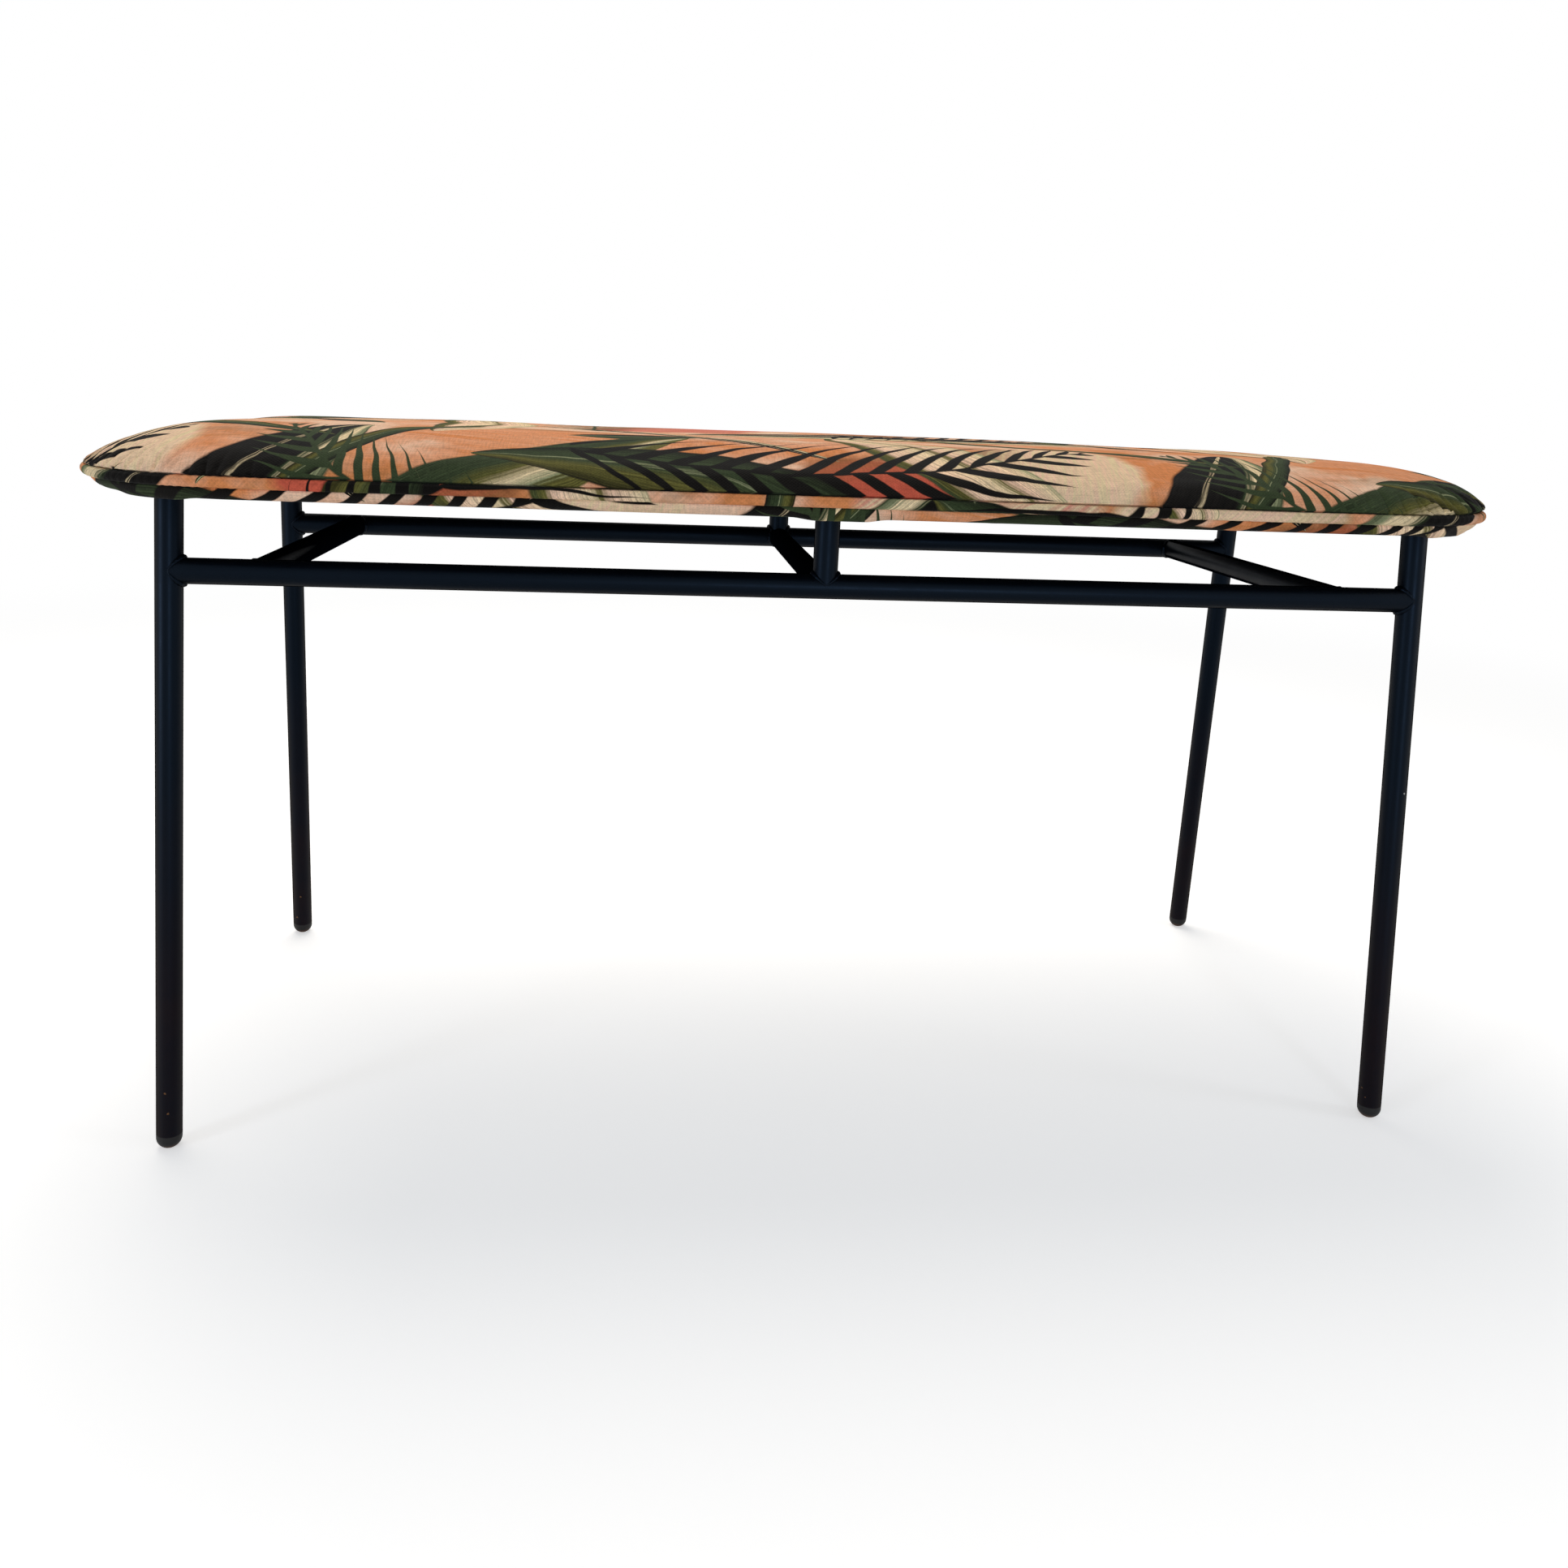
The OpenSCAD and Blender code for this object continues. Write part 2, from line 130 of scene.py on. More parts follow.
# Part of the floor's paleness is its own, and more so for the camera, so that it looks
# white and keeps a soft shadow.
own_light = maths(tree, "MULTIPLY_ADD", rays.outputs["Is Camera Ray"], 0.16, 0.32)
glow = add_node(tree, "ShaderNodeEmission", {"Color": (1, 1, 1, 1), "Strength": own_light})
white = add_node(tree, "ShaderNodeEmission", {"Color": (1, 1, 1, 1), "Strength": 1})
share = maths(tree, "MULTIPLY", fade.outputs[0], seen)
glowing = add_node(tree, "ShaderNodeAddShader", {0: matt.outputs[0], 1: glow.outputs[0]})
lit = add_node(tree, "ShaderNodeMixShader", {0: seen, 1: matt.outputs[0], 2: glowing.outputs[0]})
floor_mix = add_node(tree, "ShaderNodeMixShader", {0: share, 1: lit.outputs[0], 2: white.outputs[0]})
tree.links.new(floor_mix.outputs[0], out.inputs["Surface"])
floor.data.materials.append(floor_paint)

world = bpy.data.worlds.new("studio")
bpy.context.scene.world = world
world.use_nodes = True
tree = world.node_tree
tree.nodes.clear()
rays = add_node(tree, "ShaderNodeLightPath")
seen = maths(tree, "MAXIMUM", rays.outputs["Is Camera Ray"], rays.outputs["Is Glossy Ray"])
seen = maths(tree, "MAXIMUM", seen, rays.outputs["Is Transmission Ray"])
ambient = add_node(tree, "ShaderNodeBackground", {"Color": colour("#eef2f7"), "Strength": 0.32})
backdrop = add_node(tree, "ShaderNodeBackground", {"Color": (1, 1, 1, 1), "Strength": 1})
sky_mix = add_node(tree, "ShaderNodeMixShader", {0: seen, 1: ambient.outputs[0], 2: backdrop.outputs[0]})
add_node(tree, "ShaderNodeOutputWorld", {"Surface": sky_mix.outputs[0]})

LIGHTS = (
    ("light_top", (-0.3, 0.75, 2.0), 1.7, 27, "#fff8ef"),
    ("light_front_left", (-2.0, -1.4, 0.40), 0.45, 12, "#e6f0ff"),
    ("light_front", (0.5, -2.3, 0.35), 0.35, 9, "#e6f0ff"),
    ("light_right", (2.3, -0.8, 0.8), 0.5, 5, "#eef4ff"),
)
for name, at, size, watts, tint in LIGHTS:
    bpy.ops.object.light_add(type="AREA", location=at)
    lamp = bpy.context.object
    lamp.name = name
    lamp.data.shape = "DISK"
    lamp.data.size = size
    lamp.data.energy = watts
    lamp.data.color = colour(tint)[:3]
    lamp.rotation_euler = (Vector((0, 0, 0.35)) - Vector(at)).to_track_quat("-Z", "Y").to_euler()

# Frame: round mild steel tube, bent square and welded, then powder coated satin black.
# The coat gives a soft broad highlight, faint orange peel, and a few chips down to grey primer.
PAINT = "#030509"
# A painted reflection of a brown floor, mixed into the black low down on the legs.
FLOOR_REFLECTION_BROWN = "#1c0c04"
PRIMER = "#a9a7a2"
RUST = "#6a4a2c"
CHIPS = (
    ((0.4112, -0.1510, 0.2481), 0.0007, PRIMER),
    ((0.4159, -0.1564, 0.0379), 0.0010, PRIMER),
    ((0.4161, -0.1566, 0.0345), 0.0009, PRIMER),
    ((0.4156, -0.1637, 0.0236), 0.0005, RUST),
    ((0.4172, -0.1670, 0.0176), 0.0006, RUST),
    ((-0.4222, -0.1685, 0.0422), 0.0005, RUST),
    ((-0.4212, -0.1695, 0.0278), 0.0007, RUST),
    ((-0.4250, -0.1702, 0.0120), 0.0006, RUST),
    ((-0.4219, 0.1528, 0.0389), 0.0006, RUST),
    ((-0.4268, 0.1551, 0.0176), 0.0007, RUST),
)
powder_coat, tree, out = new_material("satin_powder_coat")
place = add_node(tree, "ShaderNodeTexCoord").outputs["Object"]
height = add_node(tree, "ShaderNodeSeparateXYZ", {0: place}).outputs["Z"]
# Towards the floor the black turns brown in cloudy patches: a painted reflection of a brown floor.
low = remap(tree, height, 0.26, 0.08)
cloudy = add_node(tree, "ShaderNodeTexNoise", {"Vector": place, "Scale": 28, "Detail": 4, "Roughness": 0.6})
low = maths(tree, "MULTIPLY", low, cloudy.outputs["Fac"])
coat_colour = add_node(tree, "ShaderNodeMix", {"Factor": low, "A": colour(PAINT), "B": colour(FLOOR_REFLECTION_BROWN)},
                       data_type="RGBA").outputs["Result"]
flakes = add_node(tree, "ShaderNodeTexNoise", {"Vector": place, "Scale": 900, "Detail": 2})
chipped = None
for spot, size, bare in CHIPS:
    away = add_node(tree, "ShaderNodeVectorMath", {0: place, 1: spot}, operation="DISTANCE").outputs["Value"]
    ragged = maths(tree, "MULTIPLY_ADD", flakes.outputs["Fac"], 0.0020, away)
    inside = remap(tree, ragged, size + 0.0012, size + 0.0009)
    coat_colour = add_node(tree, "ShaderNodeMix", {"Factor": inside, "A": coat_colour, "B": colour(bare)},
                           data_type="RGBA").outputs["Result"]
    if chipped is None:
        chipped = inside
    else:
        chipped = maths(tree, "MAXIMUM", chipped, inside)
smears = add_node(tree, "ShaderNodeTexNoise", {"Vector": place, "Scale": 60, "Detail": 5, "Roughness": 0.65})
gloss = remap(tree, smears.outputs["Fac"], 0.3, 0.7, 0.34, 0.44)
# Orange peel about 1.2 mm across, 4 micrometres deep.
peel = add_node(tree, "ShaderNodeTexNoise", {"Vector": place, "Scale": 850, "Detail": 1})
dented = maths(tree, "MULTIPLY_ADD", chipped, -6, peel.outputs["Fac"])
bump = add_node(tree, "ShaderNodeBump", {"Strength": 0.5, "Distance": 0.00003, "Height": dented})
# The fine texture of the coat swallows the shine at a glancing angle, so the tubes' edges stay black.
glance = add_node(tree, "ShaderNodeLayerWeight", {"Blend": 0.5}).outputs["Facing"]
shine = remap(tree, glance, 0.30, 0.72, 0.12, 0.0)
# The shine is tinted blue: a painted tint of cool light in the reflections, not a colour of the coat.
give_surface(tree, out, {
    "Base Color": coat_colour, "Roughness": gloss, "Specular IOR Level": shine,
    "Specular Tint": colour("#a8d0ff"), "Normal": bump.outputs[0]})


def dress(nodes, material):
    """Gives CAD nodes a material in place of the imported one."""
    for name in nodes:
        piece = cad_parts[name]
        piece.data.materials.clear()
        piece.data.materials.append(material)


CORNERS = ("front_left", "front_right", "back_left", "back_right")
dress(["leg_" + c for c in CORNERS], powder_coat)
dress(["rail_front", "rail_back"], powder_coat)
dress(["crossbar_left", "crossbar_middle", "crossbar_right"], powder_coat)
dress(["post_front", "post_back"], powder_coat)
dress(["tab_" + c for c in CORNERS] + ["tab_front_middle", "tab_back_middle"], powder_coat)

# Weld beads: one run of weld round each coped tube end, painted over with the frame.
# Each starts as a ring on the joining tube and is pushed along it to the other tube's side.
# It is full where the tubes meet at a sharp angle and thins out where their sides run together.
TUBE_R = 0.008
BEAD_R = 0.0019

rail_low, rail_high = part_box("rail_front")
RAIL_Y = -(rail_low.y + rail_high.y) / 2
RAIL_Z = (rail_low.z + rail_high.z) / 2
leg_low, leg_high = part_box("leg_front_right")
LEG_TOP = Vector((leg_low.x + TUBE_R, leg_high.y - TUBE_R, leg_high.z))
LEG_FOOT = Vector((leg_high.x - TUBE_R, leg_low.y + TUBE_R, leg_low.z))
leg_lean = (LEG_TOP - LEG_FOOT).normalized()
at_rail = LEG_FOOT + leg_lean * ((RAIL_Z - LEG_FOOT.z) / leg_lean.z)
BAR_X = (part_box("crossbar_right")[0].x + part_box("crossbar_right")[1].x) / 2
# Each joint: where the centre lines cross, the way the joining tube leaves, and the tube it is welded to.
JOINTS = []
for sy in (-1, 1):
    for sx in (-1, 1):
        lean = Vector((sx * leg_lean.x, -sy * leg_lean.y, leg_lean.z))
        JOINTS.append((Vector((sx * at_rail.x, sy * RAIL_Y, RAIL_Z)), Vector((-sx, 0, 0)), lean))
    for x in (-BAR_X, 0, BAR_X):
        JOINTS.append((Vector((x, sy * RAIL_Y, RAIL_Z)), Vector((0, -sy, 0)), Vector((1, 0, 0))))
    JOINTS.append((Vector((0, sy * RAIL_Y, RAIL_Z)), Vector((0, 0, 1)), Vector((1, 0, 0))))
beads = []
random.seed(7)
for at, away, along in JOINTS:
    bpy.ops.object.select_all(action="DESELECT")
    bpy.ops.mesh.primitive_torus_add(major_segments=72, minor_segments=10, major_radius=TUBE_R, minor_radius=BEAD_R)
    bead = bpy.context.object
    side = away.cross(along).normalized()
    lift = side.cross(away).normalized()
    shift = random.uniform(0, 6)
    for v in bead.data.vertices:
        turn = math.atan2(v.co.y, v.co.x)
        deep = abs(math.sin(turn))
        ripple = 1 + 0.08 * math.sin(22 * turn + shift) + 0.04 * math.sin(9 * turn + 2 * shift)
        ring = Vector((math.cos(turn) * TUBE_R, math.sin(turn) * TUBE_R, 0))
        off = (v.co - ring) * ripple * (0.35 + 0.65 * deep)
        ring *= 1 - 0.07 * (1 - deep)
        rise = math.hypot(deep, 0.28) * TUBE_R
        slope = along.dot(away) * math.sin(turn) * TUBE_R
        p = ring + off
        v.co = at + side * p.x + lift * p.y + away * (p.z + rise + slope)
    beads.append(bead)
bpy.ops.object.select_all(action="DESELECT")
for bead in beads:
    bead.select_set(True)
bpy.context.view_layer.objects.active = beads[0]
bpy.ops.object.join()
welds = bpy.context.object
welds.name = "weld_beads"
bpy.ops.object.mode_set(mode="EDIT")
bpy.ops.mesh.select_all(action="SELECT")
bpy.ops.mesh.normals_make_consistent(inside=False)
bpy.ops.object.mode_set(mode="OBJECT")
bpy.ops.object.shade_smooth()
welds.data.materials.append(powder_coat)
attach(welds, "root")

# Glides: black polyethylene, injection moulded, pressed up into the legs.
# Moulded plastic gives a duller, softer highlight than the paint, and the sole is scuffed.
glide_plastic, tree, out = new_material("moulded_polyethylene")
place = add_node(tree, "ShaderNodeTexCoord").outputs["Object"]
height = add_node(tree, "ShaderNodeSeparateXYZ", {0: place}).outputs["Z"]
scuffs = add_node(tree, "ShaderNodeTexNoise", {"Vector": place, "Scale": 700, "Detail": 4, "Roughness": 0.7})
sole = remap(tree, height, 0.0045, 0.0)
worn = maths(tree, "MULTIPLY", sole, scuffs.outputs["Fac"])
plastic_colour = add_node(tree, "ShaderNodeMix", {
    "Factor": worn, "A": colour("#0b0a0b"), "B": colour("#7a4a22")}, data_type="RGBA").outputs["Result"]
grain = add_node(tree, "ShaderNodeBump", {"Strength": 0.4, "Distance": 0.00005, "Height": scuffs.outputs["Fac"]})
give_surface(tree, out, {
    "Base Color": plastic_colour, "Roughness": 0.55, "Specular IOR Level": 0.3, "Normal": grain.outputs[0]})
dress(["glide_" + c for c in CORNERS], glide_plastic)

# Seat outline: a long rounded rectangle, the line that the piping follows. The cover, the
# piping and the band all hang on this one line, as they are sewn together along it.
piping_low, piping_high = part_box("piping_cover")
PIPING_R = (piping_high.z - piping_low.z) / 2
SEAM_Z = (piping_high.z + piping_low.z) / 2
HALF_L = piping_high.x - PIPING_R
HALF_W = piping_high.y - PIPING_R
CORNER_R = 0.122
STRAIGHT_X = HALF_L - CORNER_R
STRAIGHT_Y = HALF_W - CORNER_R
ARC = CORNER_R * math.pi / 2
GIRTH = 4 * (STRAIGHT_X + STRAIGHT_Y + ARC)


def round_the_seat(run):
    """The point on the outline a run from the middle of the right end, and its outward side."""
    run %= GIRTH
    for sx, sy, turn in ((1, 1, 0), (-1, 1, 1), (-1, -1, 2), (1, -1, 3)):
        first, second = (STRAIGHT_Y, STRAIGHT_X) if turn % 2 == 0 else (STRAIGHT_X, STRAIGHT_Y)
        out_way = Vector((math.cos(turn * math.pi / 2), math.sin(turn * math.pi / 2)))
        on_way = Vector((-out_way.y, out_way.x))
        corner = Vector((sx * STRAIGHT_X, sy * STRAIGHT_Y))
        if run <= first:
            return corner + out_way * CORNER_R - on_way * (first - run), out_way
        run -= first
        if run <= ARC:
            angle = run / CORNER_R
            away = out_way * math.cos(angle) + on_way * math.sin(angle)
            return corner + away * CORNER_R, away
        run -= ARC
        if run <= second:
            return corner + on_way * CORNER_R - out_way * run, on_way
        run -= second
    return round_the_seat(0)


def place_on_seat(x, y):
    """The run round the outline nearest a point, and how far in from the outline it is."""
    out_x, out_y = abs(x) - STRAIGHT_X, abs(y) - STRAIGHT_Y
    if out_x > 0 and out_y > 0:
        first = STRAIGHT_Y + CORNER_R * math.atan2(out_y, out_x)
        inset = CORNER_R - math.hypot(out_x, out_y)
    elif CORNER_R - out_x < CORNER_R - out_y:
        first, inset = abs(y), CORNER_R - out_x
    else:
        first, inset = STRAIGHT_Y + ARC + STRAIGHT_X - abs(x), CORNER_R - out_y
    if x < 0:
        first = GIRTH / 2 - first
    return (first if y >= 0 else GIRTH - first), inset


def bend_at(run):
    """How much the outline bends: 1 in the corners, 0 on the straights, eased between."""
    quarter = GIRTH / 4
    best = 0
    for k in range(4):
        middle = (k + 0.5) * quarter + (STRAIGHT_Y - STRAIGHT_X) / 2 * (1 if k % 2 == 0 else -1)
        off = abs((run - middle + GIRTH / 2) % GIRTH - GIRTH / 2)
        best = max(best, min(1, max(0, (ARC / 2 + 0.03 - off) / 0.05)))
    return best * best * (3 - 2 * best)


def make_piece(name, points, faces, material):
    """A mesh piece that rides with the bench and has one material."""
    mesh = bpy.data.meshes.new(name)
    mesh.from_pydata(points, [], faces)
    mesh.validate()
    piece = bpy.data.objects.new(name, mesh)
    bpy.context.scene.collection.objects.link(piece)
    mesh.materials.append(material)
    for face in mesh.polygons:
        face.use_smooth = True
    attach(piece, "root")
    return piece


def ring_faces(ring_count, around):
    """The faces between closed rings of points, each ring with as many points as the next."""
    faces = []
    for row in range(ring_count - 1):
        for i in range(around):
            j = (i + 1) % around
            here, inner = row * around, (row + 1) * around
            faces.append((here + i, here + j, inner + j, inner + i))
    return faces


def turn_outwards(piece, weld=False):
    """Makes a piece the active one, welds its doubled points if asked, and turns its faces outwards."""
    bpy.ops.object.select_all(action="DESELECT")
    piece.select_set(True)
    bpy.context.view_layer.objects.active = piece
    bpy.ops.object.mode_set(mode="EDIT")
    bpy.ops.mesh.select_all(action="SELECT")
    if weld:
        bpy.ops.mesh.remove_doubles(threshold=0.00002)
    bpy.ops.mesh.normals_make_consistent(inside=False)
    bpy.ops.object.mode_set(mode="OBJECT")


def thicken(piece, thickness, offset=-1):
    """Gives the active cloth piece its thickness, inwards unless another offset is given."""
    thick = piece.modifiers.new("cloth", "SOLIDIFY")
    thick.thickness = thickness
    thick.offset = offset
    bpy.ops.object.modifier_apply(modifier="cloth")


# Printed cloth: plain-weave linen and cotton, printed with broad striped leaves and fern
# sprays over soft peach and coral washes. The weave breaks up the print and the light.
PEACH = colour("#e2a27c")
CREAM_PINK = colour("#edc6a8")
ORANGE = colour("#d98a55")
CORAL = colour("#c65b45")
ROSE = colour("#d8937f")
OLIVE = colour("#625e2e")
LEAF = colour("#354029")
DARK_LEAF = colour("#12100e")
CREAM = colour("#e6cfa4")
SAGE = colour("#8a8f6a")
SHADE = colour("#8a6238")
REPEAT = 0.56
printed_cloth, tree, out = new_material("printed_linen")
cloth_at = add_node(tree, "ShaderNodeUVMap", uv_map="cloth").outputs[0]
# A slow wander of 4 mm keeps the drawn edges from looking ruled.
wander = add_node(tree, "ShaderNodeTexNoise", {"Vector": cloth_at, "Scale": 14, "Detail": 2}, noise_dimensions="2D")
drawn = vector_maths(tree, "MULTIPLY_ADD", wander.outputs["Color"], (0.012, 0.012, 0), cloth_at)
REPEAT_HALF = (REPEAT / 2, REPEAT / 2, 1)
REPEAT_LOW = (-REPEAT / 2, -REPEAT / 2, -1)


def motif_place(centre, turn, size):
    """Place in one motif: -1 to 1 along it and across it, repeated with the print."""
    moved = vector_maths(tree, "SUBTRACT", drawn, (*centre, 0))
    again = vector_maths(tree, "WRAP", moved, REPEAT_HALF, REPEAT_LOW)
    inputs = {"Vector": again, "Rotation": (0, 0, math.radians(turn)), "Scale": (*size, 1)}
    mapped = add_node(tree, "ShaderNodeMapping", inputs, vector_type="TEXTURE").outputs[0]
    split = add_node(tree, "ShaderNodeSeparateXYZ", {0: mapped})
    return mapped, split.outputs["X"], split.outputs["Y"]


def bent(along, across, bend):
    """Across, measured from a centre line that bends like a bow; and along, squared."""
    squared = maths(tree, "MULTIPLY", along, along)
    aside = maths(tree, "MULTIPLY_ADD", squared, -bend, across)
    return squared, aside


def flat_noise(place, scale, detail, roughness=0.5):
    """The value of a noise texture laid flat on the cloth."""
    inputs = {"Vector": place, "Scale": scale, "Detail": detail, "Roughness": roughness}
    return add_node(tree, "ShaderNodeTexNoise", inputs, noise_dimensions="2D").outputs["Fac"]


def paint_over(under, over, cover):
    """One colour laid over another where the cover is 1."""
    inputs = {"Factor": cover, "A": under, "B": over}
    return add_node(tree, "ShaderNodeMix", inputs, data_type="RGBA").outputs["Result"]


def colour_ramp(value, stops):
    """The colour that a ramp gives for a value; each stop is a position and a colour."""
    ramp = add_node(tree, "ShaderNodeValToRGB", {0: value})
    elements = ramp.color_ramp.elements
    for element, (position, tint) in ((elements[0], stops[0]), (elements[1], stops[-1])):
        element.position = position
        element.color = tint
    for position, tint in stops[1:-1]:
        elements.new(position).color = tint
    return ramp.outputs["Color"]


# Washes: wet patches of colour that run into the ground. Here and below, a motif's centre
# and half size are in metres of cloth, and its turn is in degrees.
paper = flat_noise(drawn, 9, 5, 0.6)
print_colour = colour_ramp(paper, ((0.40, ORANGE), (0.5, PEACH), (0.62, CREAM_PINK)))
# A thin olive-brown glaze, brushed on in long strokes.
brushed = add_node(tree, "ShaderNodeMapping", {"Vector": drawn, "Rotation": (0, 0, 0.6), "Scale": (6, 46, 1)})
glaze = flat_noise(brushed.outputs[0], 1, 4, 0.6)
glaze = remap(tree, glaze, 0.52, 0.74, 0, 0.55)
print_colour = paint_over(print_colour, SHADE, glaze)
WASHES = (
    ((0.02, -0.20), 20, (0.085, 0.055), CORAL, CORAL),
    ((0.14, -0.15), 75, (0.075, 0.050), CREAM, CREAM_PINK),
    ((-0.18, -0.10), -15, (0.090, 0.060), ORANGE, PEACH),
    ((0.20, 0.06), 10, (0.080, 0.060), CREAM, ROSE),
    ((-0.08, 0.05), 50, (0.100, 0.055), CORAL, ROSE),
    ((-0.24, 0.17), 0, (0.075, 0.065), CREAM_PINK, CREAM),
    ((0.10, 0.22), -35, (0.090, 0.050), ORANGE, CORAL),
)
for centre, turn, size, near_colour, far_colour in WASHES:
    mapped, along, across = motif_place(centre, turn, size)
    reach = add_node(tree, "ShaderNodeVectorMath", {0: mapped}, operation="LENGTH").outputs["Value"]
    ragged = maths(tree, "MULTIPLY_ADD", paper, 0.9, reach)
    cover = remap(tree, ragged, 1.52, 1.34)
    # Brush streaks, 2 to 3 mm apart, run along the patch.
    stretched = vector_maths(tree, "MULTIPLY", mapped, (0.8, 14, 1))
    streak = flat_noise(stretched, 1.5, 3)
    streaky = remap(tree, streak, 0.35, 0.65)
    wash = paint_over(near_colour, far_colour, streaky)
    # One long side of each patch turns olive brown, as a petal's shaded edge does.
    shaded = maths(tree, "MULTIPLY_ADD", streak, 0.5, across)
    shaded = remap(tree, shaded, 0.55, 1.25, 0, 0.8)
    wash = paint_over(wash, SHADE, shaded)
    print_colour = paint_over(print_colour, wash, cover)

# Striped leaves: long bowed blades with pale and dark stripes along them.
STRIPES = {
    "dark": ((0.0, LEAF), (0.12, SAGE), (0.17, CREAM), (0.30, CREAM), (0.36, LEAF), (0.42, DARK_LEAF),
             (0.66, DARK_LEAF), (0.70, CREAM), (0.74, DARK_LEAF), (1.0, DARK_LEAF)),
    "olive": ((0.0, OLIVE), (0.22, OLIVE), (0.30, SAGE), (0.42, CREAM), (0.55, OLIVE), (0.72, LEAF), (1.0, LEAF)),
    "pale": ((0.0, SAGE), (0.08, CREAM), (0.32, CREAM_PINK), (0.40, OLIVE), (0.46, CREAM), (0.78, CREAM_PINK),
             (0.86, OLIVE), (1.0, LEAF)),
    "green": ((0.0, DARK_LEAF), (0.30, LEAF), (0.47, LEAF), (0.50, SAGE), (0.53, LEAF), (0.75, OLIVE),
              (1.0, DARK_LEAF)),
}
BLADES = (
    ((-0.20, -0.19), 28, (0.150, 0.030), 0.9, "olive"),
    ((0.06, -0.12), 118, (0.130, 0.034), -1.0, "pale"),
    ((0.22, -0.21), 52, (0.140, 0.036), 0.9, "dark"),
    ((-0.06, -0.18), 160, (0.150, 0.028), 1.1, "green"),
    ((0.08, 0.02), 12, (0.170, 0.032), -0.9, "dark"),
    ((-0.22, 0.03), 95, (0.140, 0.034), 0.8, "pale"),
    ((-0.04, 0.16), -28, (0.160, 0.034), 1.0, "olive"),
    ((0.24, 0.16), 64, (0.140, 0.030), -0.8, "green"),
    ((-0.17, 0.25), 5, (0.130, 0.028), 0.9, "dark"),
    ((0.16, -0.06), -40, (0.130, 0.010), 1.4, "green"),
    ((-0.10, -0.06), 135, (0.140, 0.008), -1.3, "dark"),
    ((-0.26, -0.12), 60, (0.120, 0.009), 1.2, "green"),
    ((0.03, 0.24), 150, (0.140, 0.009), 1.3, "olive"),
)
for centre, turn, size, bend, stripes in BLADES:
    mapped, along, across = motif_place(centre, turn, size)
    squared, aside = bent(along, across, bend)
    open_width = maths(tree, "SUBTRACT", 1, squared, use_clamp=True)
    width = maths(tree, "POWER", open_width, 0.7)
    wide = maths(tree, "MAXIMUM", width, 0.001)
    part = maths(tree, "DIVIDE", aside, wide)
    away = maths(tree, "ABSOLUTE", part)
    cover = remap(tree, away, 1.0, 0.94)
    vein = add_node(tree, "ShaderNodeCombineXYZ", {"X": along, "Y": part}).outputs[0]
    vein = vector_maths(tree, "MULTIPLY", vein, (0.9, 9, 1))
    vein = flat_noise(vein, 1.6, 3)
    shifted = maths(tree, "MULTIPLY_ADD", vein, 0.34, part)
    shade = remap(tree, shifted, -0.83, 1.17)
    striped = colour_ramp(shade, STRIPES[stripes])
    # Dry-brush lines, about 1 mm apart, run the whole length of a blade.
    hairs = add_node(tree, "ShaderNodeCombineXYZ", {"X": along, "Y": part}).outputs[0]
    hairs = vector_maths(tree, "MULTIPLY", hairs, (1.6, 34, 1))
    hairs = flat_noise(hairs, 1, 2)
    lines = remap(tree, hairs, 0.3, 0.7, 0.62, 1.35)
    blade = add_node(tree, "ShaderNodeVectorMath", {0: striped, 3: lines}, operation="SCALE").outputs[0]
    print_colour = paint_over(print_colour, blade, cover)

# Fern sprays: a bowed rib with slim paired leaflets that sweep forwards.
SPRAYS = (
    ((0.02, -0.17), 8, 0.170, 0.075, 0.30, DARK_LEAF, 0.023),
    ((-0.26, -0.20), 140, 0.120, 0.050, -0.35, LEAF, 0.016),
    ((0.16, 0.10), 200, 0.175, 0.080, 0.28, DARK_LEAF, 0.024),
    ((-0.14, 0.12), 75, 0.150, 0.055, -0.30, LEAF, 0.017),
)
for centre, turn, half, leaflet, bend, tint, pitch in SPRAYS:
    mapped, along, across = motif_place(centre, turn, (half, half))
    squared, aside = bent(along, across, bend)
    away = maths(tree, "ABSOLUTE", aside)
    side = maths(tree, "SIGN", aside)
    reach = maths(tree, "SUBTRACT", 1, squared, use_clamp=True)
    reach = maths(tree, "POWER", reach, 0.45)
    reach = maths(tree, "MULTIPLY_ADD", reach, leaflet / half, 0.001)
    out_share = maths(tree, "DIVIDE", away, reach)
    # A leaflet's place along the rib, seen from out along its swept line.
    swept = maths(tree, "MULTIPLY_ADD", away, -0.9, along)
    curl = maths(tree, "MULTIPLY", away, away)
    swept = maths(tree, "MULTIPLY_ADD", curl, -1.2, swept)
    staggered = maths(tree, "MULTIPLY_ADD", side, pitch / half / 4, swept)
    count = maths(tree, "MULTIPLY", staggered, half / pitch)
    cell = maths(tree, "FRACT", count)
    cell = maths(tree, "SUBTRACT", cell, 0.5)
    cell = maths(tree, "ABSOLUTE", cell)
    taper = remap(tree, out_share, 1.0, 0.25, 0.0, 0.27)
    leaflets = maths(tree, "SUBTRACT", taper, cell)
    leaflets = remap(tree, leaflets, 0.0, 0.05)
    rib = remap(tree, away, 0.0016 / half + 0.004, 0.0010 / half)
    end = remap(tree, squared, 1.0, 0.97)
    cover = maths(tree, "MAXIMUM", leaflets, rib)
    cover = maths(tree, "MULTIPLY", cover, end)
    print_colour = paint_over(print_colour, tint, cover)

